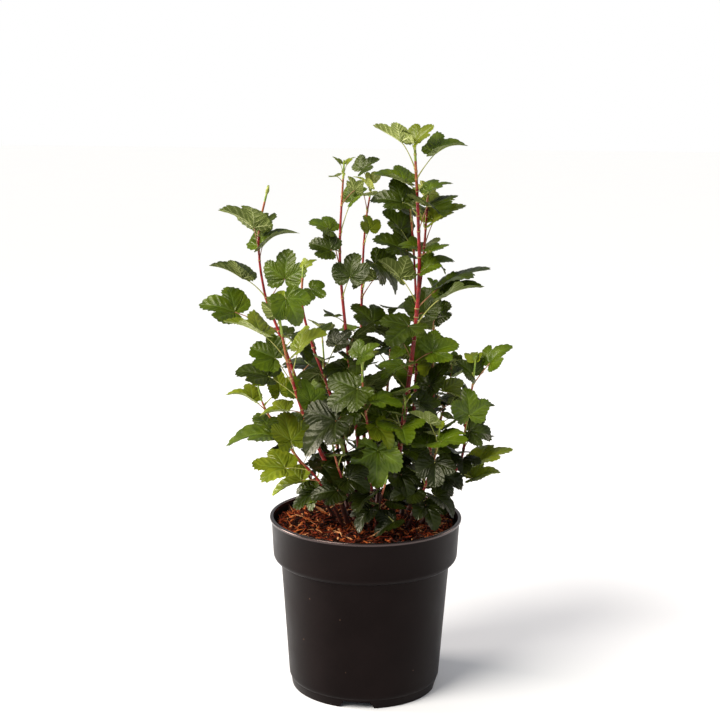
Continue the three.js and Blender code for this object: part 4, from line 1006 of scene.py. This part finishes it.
# The stems
# Woody stems with smooth thin bark, dark brown-red at the foot, glossy deep red above and green
# with a pink flush where they are young. Each swells at its nodes, round a pale leaf scar.
STEM_SIDES, STEM_STEP = 14, 4.5
NODE_SWELL = ((-2.2, 1.02), (-0.7, 1.22), (0.5, 1.26), (1.9, 1.04))  # heights round a node, girths
OLD_WOOD = 250  # below this height the bark is old and dark
BARE_YOUNG, BARE_GREEN = 62, 22  # how far a bare tip is young and how far green, from its end
stem_rng = np.random.default_rng(5)
stem_parts, bud_parts = [], []
for shoot in SHOOTS:
    foot, tip = shoot["line"][0][2], shoot["line"][-1][2]
    nodes = sorted(leaf["root"][2] for leaf in shoot["leaves"] if leaf["root"][2] < tip - 2)
    nodes += list(np.arange(foot + 24, shoot["leafy"], 26) + stem_rng.uniform(-6, 6))
    nodes = [z for i, z in enumerate(sorted(nodes)) if not i or z - sorted(nodes)[i - 1] > 4]
    heights = set(np.round(np.linspace(foot - 3, tip, int((tip - foot) / STEM_STEP) + 2), 3))
    heights = [z for z in heights if all(abs(z - n) > 2.6 for n in nodes)]
    swell = {round(z, 3): 1.0 for z in heights}
    for z in nodes:
        for step, size in NODE_SWELL:
            if foot < z + step < tip:
                swell[round(z + step, 3)] = size
    levels = sorted(swell)
    path = [stem_point(shoot, z) for z in levels]
    wobble = [1 + 0.05 * noise.noise((0.11 * z, shoot["seed"], 0)) for z in levels]
    radii = [stem_radius(shoot, z) * 1.1 * swell[z] * w for z, w in zip(levels, wobble)]
    if shoot.get("bare_tip"):  # the bare end stays stout and carries one fat closed bud
        radii = [max(r, 1.35) for r in radii]
        bud = [path[-3] + np.array([0.3 * up, 0, up]) for up in (0, 2, 4.5, 8, 11)]
        points, triangles, _ = tube(bud, [1.2, 2.1, 2.3, 1.3, 0.2], 8)
        bud_parts.append((points, triangles, 1))
    path.append(path[-1] + np.array([0, 0, 1.6]))
    radii.append(radii[-1] * 0.45)
    points, triangles, ring = tube(path, radii, STEM_SIDES)
    low = np.array(levels + [tip + 1.6])[ring]
    share = (low - foot) / (tip - foot)
    old = (OLD_WOOD - foot) / (tip - foot)
    # The shares of its height at which a stem turns from old bark to red, pink and green.
    steps = (old, 0.88, 0.95) if tip > 480 else (old, max(0.66, old), 0.86)
    slots = np.searchsorted(steps, share)
    scar = np.array([any(-0.8 < z - n < 0.2 for n in nodes) for z in low])
    if shoot.get("bare_tip"):
        slots = np.where(low > tip - BARE_YOUNG, 2, slots)
        slots = np.where(low > tip - BARE_GREEN, 3, slots)
    stem_parts.append((points, triangles, np.where(scar & (share > 0.1), 4, slots)))
    for leaf in shoot["leaves"]:  # a small pointed bud sits in the angle over each stalk
        out = direction(leaf["bearing"], 0)
        reach = stem_radius(shoot, min(leaf["root"][2], tip))
        base = leaf["root"] + out * reach * 0.7 + np.array([0, 0, 1.6])
        lean = direction(leaf["bearing"], 62)
        length = stem_rng.uniform(2.6, 4.6)
        bud = [base + lean * length * s for s in (0, 0.3, 0.65, 1)]
        points, triangles, _ = tube(bud, [0.8, 1.15, 0.85, 0.15], 7, 0.8)
        bud_parts.append((points, triangles, 0 if leaf["root"][2] < 0.75 * tip else 1))

BARK_SKINS = (  # from the foot up, then the scars: name, two tones, roughness
    ("old_brown_red_bark", "#2C110B", "#552619", 0.55),
    ("glossy_deep_red_bark", "#6C1011", "#A02826", 0.32),
    ("pink_flushed_young_bark", "#8A3226", "#AE7046", 0.4),
    ("green_shoot_skin", "#6E8A2E", "#93A548", 0.42),
    ("pale_leaf_scar", "#8C7440", "#B7A268", 0.6),
)


def skin(name, dark, light, rough):
    """Smooth bark or leaf stalk: two tones in soft blotches, with a fine lengthwise grain."""
    material, tree, shader, place = new_material(name, Roughness=rough, Specular_IOR_Level=0.35)
    blotch = add_node(tree, "ShaderNodeTexNoise", {"Vector": place, "Scale": 180.0, "Detail": 3.0})
    tone = add_node(tree, "ShaderNodeValToRGB", {0: blotch.outputs[0]})
    tone.color_ramp.elements[0].position, tone.color_ramp.elements[1].position = 0.36, 0.64
    tone.color_ramp.elements[0].color, tone.color_ramp.elements[1].color = linear(dark), linear(light)
    upright = add_node(tree, "ShaderNodeMapping", {"Vector": place, "Scale": (1.0, 1.0, 0.22)})
    grain = add_node(
        tree, "ShaderNodeTexNoise", {"Vector": upright.outputs[0], "Scale": 1400.0, "Detail": 2.0}
    )
    bump = add_node(
        tree, "ShaderNodeBump", {"Height": grain.outputs[0], "Strength": 0.35, "Distance": 0.0003}
    )
    tree.links.new(tone.outputs[0], shader.inputs["Base Color"])
    tree.links.new(bump.outputs[0], shader.inputs["Normal"])
    return material


stems = joined("stems", stem_parts, [skin(*row) for row in BARK_SKINS])
boughs = [f"{shoot['name']}_bough" for shoot in SHOOTS]
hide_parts(*[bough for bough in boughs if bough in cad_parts])
buds = joined("buds", bud_parts, [
    skin("red_bud_scale", "#5A1A18", "#9A4A30", 0.45),
    skin("green_bud_scale", "#7C8A34", "#B0B45A", 0.45),
])

# The leaves
# Thin leaves with three broad lobes and two weak ones at the heart-shaped base. The skin is
# pleated along the side veins, glossy green above and pale below, with small blunt teeth.

# Half an outline, from the tip to the neck: bearings in degrees and reaches in leaf lengths.
RIM_TURNS = np.array([
    0, 9, 18, 25, 29, 32, 35, 40, 48, 57, 67, 79, 90, 100, 112, 126, 140, 156, 170,
])
RIM_REACHES = np.array([
    1, 0.97, 0.91, 0.82, 0.72, 0.62, 0.71, 0.80, 0.88, 0.90, 0.85, 0.76, 0.66, 0.61, 0.61, 0.54, 0.43,
    0.28, 0.12,
])
LEAF_SECTORS = (  # lobe's vein, the sinus beside it, as rim points, then rows and inner rows
    (0, 5, 17, 4),
    (9, 5, 17, 4),
    (9, 12, 15, 4),
    (14, 12, 10, 4),
    (14, 18, 13, 2),
)
SMALL_SECTORS = ((0, 5, 6, 2), (9, 5, 6, 2), (9, 12, 6, 2), (14, 12, 5, 2), (14, 18, 5, 1))


def half_lobe(turns, reaches, sector, columns, teeth, pleat):
    """Points of one half lobe in leaf lengths, as rows from its vein to the sinus or the rim."""
    vein, sinus, rows, inner = sector
    k = np.arange(rows + 1)
    near = 0.22 if sinus < 18 else 0.11  # the share of the vein that the inner rows take
    beyond = near + (1 - near) * (k - inner) / (rows - inner)
    on_vein = np.where(k <= inner, near * k / inner, beyond)
    ray = np.array([math.cos(turns[vein]), math.sin(turns[vein])])
    spine = np.multiply.outer(on_vein * reaches[vein], ray)
    sweep = np.linspace(turns[sinus], turns[vein], 40)
    order = np.argsort(turns)
    reach = np.interp(sweep, turns[order], reaches[order])
    rim = reach[:, None] * np.stack([np.cos(sweep), np.sin(sweep)], 1)
    walked = np.concatenate([[0], np.cumsum(np.linalg.norm(np.diff(rim, axis=0), axis=1))])
    at = np.linspace(0, walked[-1], rows - inner + 1)
    margin = np.stack([np.interp(at, walked, rim[:, i]) for i in (0, 1)], 1)
    inner_edge = np.multiply.outer(np.arange(inner) / inner, rim[0])
    edge = np.vstack([inner_edge, margin])
    width = np.linalg.norm(edge - spine, axis=1)
    # Three rows make a tooth: its tip where a side vein ends, its shoulder and the notch below.
    place = (rows - k) % 3
    notch = np.where(k > inner, teeth[: rows + 1] * np.array([0, 0.3, 1])[place], 0)
    notch = np.minimum(notch / np.maximum(width, 0.01), 0.5)
    edge = edge + (spine - edge) * notch[:, None]
    t = np.asarray(columns)
    points = spine[:, None] + (edge - spine)[:, None] * t[None, :, None]
    # The skin dips along each side vein and bulges between them, and is level at a lobe's tip.
    wave = np.sin(np.pi * (0.08 + 0.78 * t))
    sign = np.array([-1, 0.5, 0.5])[place]
    relief = pleat * (sign * np.clip(width / 0.14, 0, 1))[:, None] * wave[None]
    relief[:, 0] = -0.7 * pleat * (1 - on_vein)
    relief[:, 1] = -0.2 * pleat * (1 - on_vein)
    relief[-1] = 0
    side_vein = ((place == 0) & (k > 1))[:, None] * np.where(t < 1, 1.0, 0.7)[None]
    return points, relief, side_vein


def leaf_plan(sectors, columns):
    """How a leaf's points join: which of them coincide, its triangles, and its rim."""
    turns, flat, cells, edge = np.radians(RIM_TURNS.astype(float)), [], [], []
    for side in (1, -1):
        for sector in sectors:
            rows, inner, wide = sector[2], sector[3], len(columns)
            points = half_lobe(turns * side, RIM_REACHES, sector, columns, np.zeros(20), 0.02)[0]
            first = sum(len(p) for p in flat)
            grid = first + np.arange((rows + 1) * wide).reshape(rows + 1, wide)
            flat.append(points.reshape(-1, 2))
            edge += list(grid[inner:, -1]) + [grid[-1, 0]]
            for k in range(rows):
                for j in range(wide - 1):
                    corners = (grid[k, j], grid[k, j + 1], grid[k + 1, j + 1], grid[k + 1, j])
                    cells.append((corners, j == 0))
    flat = np.concatenate(flat)
    _, first, same = np.unique(np.round(flat, 6), axis=0, return_index=True, return_inverse=True)
    same = same.reshape(-1)
    rim = np.zeros(len(first), bool)
    rim[same[edge]] = True
    triangles, veins = [], []
    for corners, vein in cells:
        ids = [same[c] for c in corners]
        ids = [i for n, i in enumerate(ids) if i != ids[n - 1]]
        for n in range(1, len(ids) - 1):
            a, b, c = (flat[first[ids[m]]] for m in (0, n, n + 1))
            area = (b[0] - a[0]) * (c[1] - a[1]) - (b[1] - a[1]) * (c[0] - a[0])
            if abs(area) > 1e-9:
                pair = (ids[n], ids[n + 1]) if area > 0 else (ids[n + 1], ids[n])
                triangles.append((ids[0], *pair))
                veins.append(vein)
    triangles, veins = np.array(triangles), np.array(veins)
    under = np.where(rim, np.arange(len(first)), len(first) + np.cumsum(~rim) - 1)
    whole = np.concatenate([triangles, under[triangles][:, ::-1]])
    slots = np.concatenate([np.where(veins, 1, 0), np.where(veins, 3, 2)])
    return {"sectors": sectors, "columns": columns, "first": first, "rim": rim,
            "triangles": whole, "slots": slots}


FINE_LEAF = leaf_plan(LEAF_SECTORS, (0, 0.055, 0.5, 1))
SMALL_LEAF = leaf_plan(SMALL_SECTORS, (0, 0.07, 0.55, 1))
PLEAT, YOUNG_PLEAT, BLADE_THICK = 0.025, 0.032, 0.35  # pleats in leaf lengths, the rest in mm
SWAY_TURNS = (0, 32, 57, 90, 112, 170)  # where an outline is drawn by chance, in degrees
LOBE_VEINS = (-0.98, 0, 0.98)  # the veins of the three broad lobes, in radians
leaf_rng = np.random.default_rng(31)


def leaf_shape(leaf, plan, young):
    """One leaf's points in millimetres: its own outline, teeth, pleats, folds and sag."""
    flat, relief, veins = [], [], []
    tip_reach, pleat = leaf_rng.normal(1, 0.04), YOUNG_PLEAT if young else PLEAT
    for side in (1, -1):
        swing = np.interp(RIM_TURNS, SWAY_TURNS, (0, *leaf_rng.normal(0, 2.6, 4), 0))
        turns = np.radians(RIM_TURNS + swing)
        sway = np.interp(RIM_TURNS, SWAY_TURNS, (0, *leaf_rng.normal(0, 1, 4), 0))
        reaches = RIM_REACHES * (1 + 0.045 * sway)
        reaches[0] *= tip_reach
        reaches[1] *= tip_reach
        for sector in plan["sectors"]:
            teeth = leaf_rng.uniform(0.018, 0.056, 20)
            points, rise, vein = half_lobe(
                turns * side, reaches, sector, plan["columns"], teeth, pleat
            )
            flat.append(points.reshape(-1, 2))
            relief.append(rise.reshape(-1))
            veins.append(vein.reshape(-1))
    flat, relief, vein = (np.concatenate(x)[plan["first"]] for x in (flat, relief, veins))
    u, v = flat.T
    out = np.hypot(u, v)
    shut = leaf_rng.uniform(0.1, 0.6) if young else leaf_rng.uniform(-0.06, 0.34)
    fold, v = FOLD + shut, v / math.hypot(1, shut)
    droop = DROOP + leaf_rng.uniform(-0.12, 0.22)
    rise = fold * np.abs(v) - CURL * v * v - droop * u * np.abs(u) + relief
    spread = np.arctan2(v, u)
    for lobe in LOBE_VEINS:
        hold = np.exp(-(((spread - lobe) / 0.36) ** 2)) * np.clip(out - 0.35, 0, 1) ** 2
        rise += leaf_rng.normal(0, 0.3) * hold
        # Each lobe is hollow along its vein and turns down towards its rim.
        rise -= 0.5 * hold * np.abs(spread - lobe)
    rise += 0.028 * np.sin(5 * spread + leaf_rng.uniform(0, 6)) * out**2
    rise += leaf_rng.normal(0, 0.07) * u * v
    along, across, up = leaf["axes"]
    size = leaf["blade"] * (1 if young else 1.04)
    top = leaf["neck"] + size * (
        np.multiply.outer(u, along) + np.multiply.outer(v, across) + np.multiply.outer(rise, up)
    )
    inner = ~plan["rim"]
    thick = BLADE_THICK + np.where(relief < -0.2 * pleat, 0.25, 0) * np.clip(1 - out, 0, 1)
    low = top[inner] - up * (thick[inner] * min(1, size / 26))[:, None]
    vein = np.concatenate([vein, vein[inner]]).astype(np.float32)
    return np.vstack([top, low]), plan["triangles"], plan["slots"], vein


def leaf_skin(name, dark, light, line, rough, shine, crumpled, drawn_veins):
    """A leaf's skin: two close tones in blotches, side veins, and a fine crumple between them."""
    material, tree, shader, place = new_material(
        name, Roughness=rough, IOR=1.42, Specular_IOR_Level=shine, Specular_Tint=linear("#FCFFEA")
    )
    blotch = add_node(tree, "ShaderNodeTexNoise", {"Vector": place, "Scale": 75.0, "Detail": 3.0})
    tone = add_node(tree, "ShaderNodeValToRGB", {0: blotch.outputs[0]})
    tone.color_ramp.elements[0].position, tone.color_ramp.elements[1].position = 0.35, 0.65
    tone.color_ramp.elements[0].color, tone.color_ramp.elements[1].color = linear(dark), linear(light)
    # The real crumple is under a millimetre wide. It is drawn at 2.4 mm so that it shows.
    crumple = add_node(tree, "ShaderNodeTexNoise", {"Vector": place, "Scale": 420.0, "Detail": 2.0})
    bump = add_node(
        tree, "ShaderNodeBump",
        {"Height": crumple.outputs[0], "Strength": crumpled, "Distance": 0.0011},
    )
    vein = add_node(tree, "ShaderNodeAttribute", attribute_name="vein")
    drawn = add_node(
        tree, "ShaderNodeMapRange",
        {0: vein.outputs["Fac"], 1: 0.62, 2: 0.95, 3: 0.0, 4: drawn_veins},
    )
    veined = add_node(
        tree, "ShaderNodeMix", {0: drawn.outputs[0], 6: tone.outputs[0], 7: linear(line)},
        data_type="RGBA",
    )
    # No two leaves are quite the same green: the tone drifts over about 40 mm.
    drift = add_node(tree, "ShaderNodeTexNoise", {"Vector": place, "Scale": 26.0, "Detail": 1.0})
    value = add_node(
        tree, "ShaderNodeMapRange", {0: drift.outputs[0], 1: 0.3, 2: 0.7, 3: 0.78, 4: 1.28}
    )
    aged = add_node(
        tree, "ShaderNodeHueSaturation", {"Value": value.outputs[0], "Color": veined.outputs[2]}
    )
    tree.links.new(aged.outputs[0], shader.inputs["Base Color"])
    tree.links.new(bump.outputs[0], shader.inputs["Normal"])
    return material


# "deep" is painted shade: a darker copy of the "dark" greens, for leaves in the shade low under the
# crown and at the back.
LEAF_TONES = {  # upper side, its veins, underside, its veins: each as dark and light
    "deep": ("#141B02", "#202704", "#242E0A", "#2C360F", "#2A3410", "#364018", "#5C6434", "#6A7240"),
    "dark": ("#263203", "#384508", "#3A4A10", "#465618", "#444E1C", "#545E28", "#828A50", "#929A60"),
    "green": ("#3D5007", "#54660D", "#52681A", "#607624", "#58642A", "#687438", "#949C64", "#A6AE76"),
    "fresh": ("#606E12", "#79841B", "#738628", "#809234", "#74803C", "#869050", "#AEB47E", "#BEC490"),
    "young": ("#8A9620", "#A2AA30", "#A2AC3C", "#AEB648", "#969E48", "#A8B05A", "#BEC486", "#CACF98"),
}


def leaf_tone(shoot, leaf, share, young, luck):
    """A leaf's tone: young ones light, the others painted darker the lower and further back they
    grow, as painted shade.
    """
    if young:
        light, deeper = ("young", "fresh") if shoot["line"][-1][2] > 520 else ("fresh", "green")
        return light if luck < 0.6 else deeper
    if share > 0.82:
        return "fresh" if luck < 0.5 else "green"
    # Painted shade: low leaves, under the crown, mostly take the darkest tone.
    if leaf["neck"][2] < 290:
        return "deep" if luck < 0.72 else "dark" if luck < 0.93 else "green"
    # Painted shade: leaves at the back take darker tones.
    if leaf["neck"][1] > 55:
        return "deep" if luck < 0.1 else "dark" if luck < 0.75 else "green"
    return "dark" if luck < 0.45 else "green" if luck < 0.85 else "fresh"


STALK_SHARES, STALK_RADII = (0, 0.12, 0.5, 1), (1.25, 0.78, 0.55, 0.62)
leaf_parts = {tone: [] for tone in LEAF_TONES}
stalk_parts = {"green": [], "red": []}
for shoot in SHOOTS:
    tip, leafy = shoot["line"][-1][2], shoot["leafy"]
    groups = (
        (shoot["leaves"], FINE_LEAF, False),
        ([leaf for twig in shoot["twigs"] for leaf in twig["leaves"]], SMALL_LEAF, True),
        (shoot["tuft"], SMALL_LEAF, True),
        (shoot["axils"], SMALL_LEAF, False),
    )
    for leaves, plan, young in groups:
        for leaf in leaves:
            share = (leaf["root"][2] - leafy) / (tip - leafy)
            tone = leaf_tone(shoot, leaf, share, young, leaf_rng.random())
            if plan is FINE_LEAF:  # a leaf that stands out has the tone in its shoot's row
                # Painted light and shade: the tone from the row makes lit leaves lighter and shaded
                # ones darker.
                tone = shoot.get("tones", {}).get(leaf["z"], tone)
            leaf_parts[tone].append(leaf_shape(leaf, plan, young))
            # The stalk is stout where it clasps the stem, and bows a little upwards.
            reach = leaf["neck"] - leaf["root"]
            bow = np.array([0, 0, 1.0]) * np.linalg.norm(reach) * leaf_rng.uniform(0.02, 0.1)
            s = np.linspace(0, 1, 7)
            path = [leaf["root"] + reach * t + bow * 4 * t * (1 - t) for t in s]
            slim = min(1, leaf["blade"] / 26)
            radii = np.interp(s, STALK_SHARES, STALK_RADII) * (0.45 + 0.55 * slim)
            points, triangles, _ = tube(path, radii, 6)
            red = leaf_rng.random() < (0.5 if share < 0.7 and not young else 0.25)
            stalk_parts["red" if red else "green"].append((points, triangles, 0))
    for twig in shoot["twigs"]:
        points, triangles, _ = tube([mix(twig["root"], twig["top"], t) for t in (0, 0.3, 0.7, 1)],
                                    [1.1, 0.95, 0.85, 0.5], 8)
        stalk_parts["green"].append((points, triangles, 0))

MESH_LIMIT = 195000  # triangles in one mesh of leaves, past which the next one starts
foliage = []
for tone, parts in leaf_parts.items():
    colours = LEAF_TONES[tone]
    crumpled = 0.18 if tone in ("fresh", "young") else 0.42  # young skin is smoother
    skins = [
        leaf_skin(f"{tone}_leaf_upper_skin", *colours[0:2], colours[2], 0.31, 0.44, crumpled, 0.28),
        leaf_skin(f"{tone}_leaf_upper_vein", *colours[2:4], colours[3], 0.46, 0.3, 0.1, 0.0),
        leaf_skin(f"{tone}_leaf_downy_underside", *colours[4:6], colours[6], 0.7, 0.2, 0.07, 0.8),
        leaf_skin(f"{tone}_leaf_under_vein", *colours[6:8], colours[7], 0.6, 0.2, 0.05, 0.0),
    ]
    batch, weight, number = [], 0, 1
    for shape in parts + [None]:
        if batch and (shape is None or weight + len(shape[1]) > MESH_LIMIT):
            foliage.append(joined(f"leaves_{tone}_{number}", batch, skins, 75))
            batch, weight, number = [], 0, number + 1
        if shape is not None:
            batch.append(shape)
            weight += len(shape[1])
foliage.append(joined("leaf_stalks_green", stalk_parts["green"],
                      [skin("yellow_green_leaf_stalk", "#8A9440", "#B0AE62", 0.45)]))
foliage.append(joined("leaf_stalks_red", stalk_parts["red"],
                      [skin("pink_flushed_leaf_stalk", "#7A4A34", "#A87A58", 0.45)]))
foliage.append(buds)
masses = [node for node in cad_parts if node.endswith("_foliage")]
for piece in foliage:
    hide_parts(*masses)
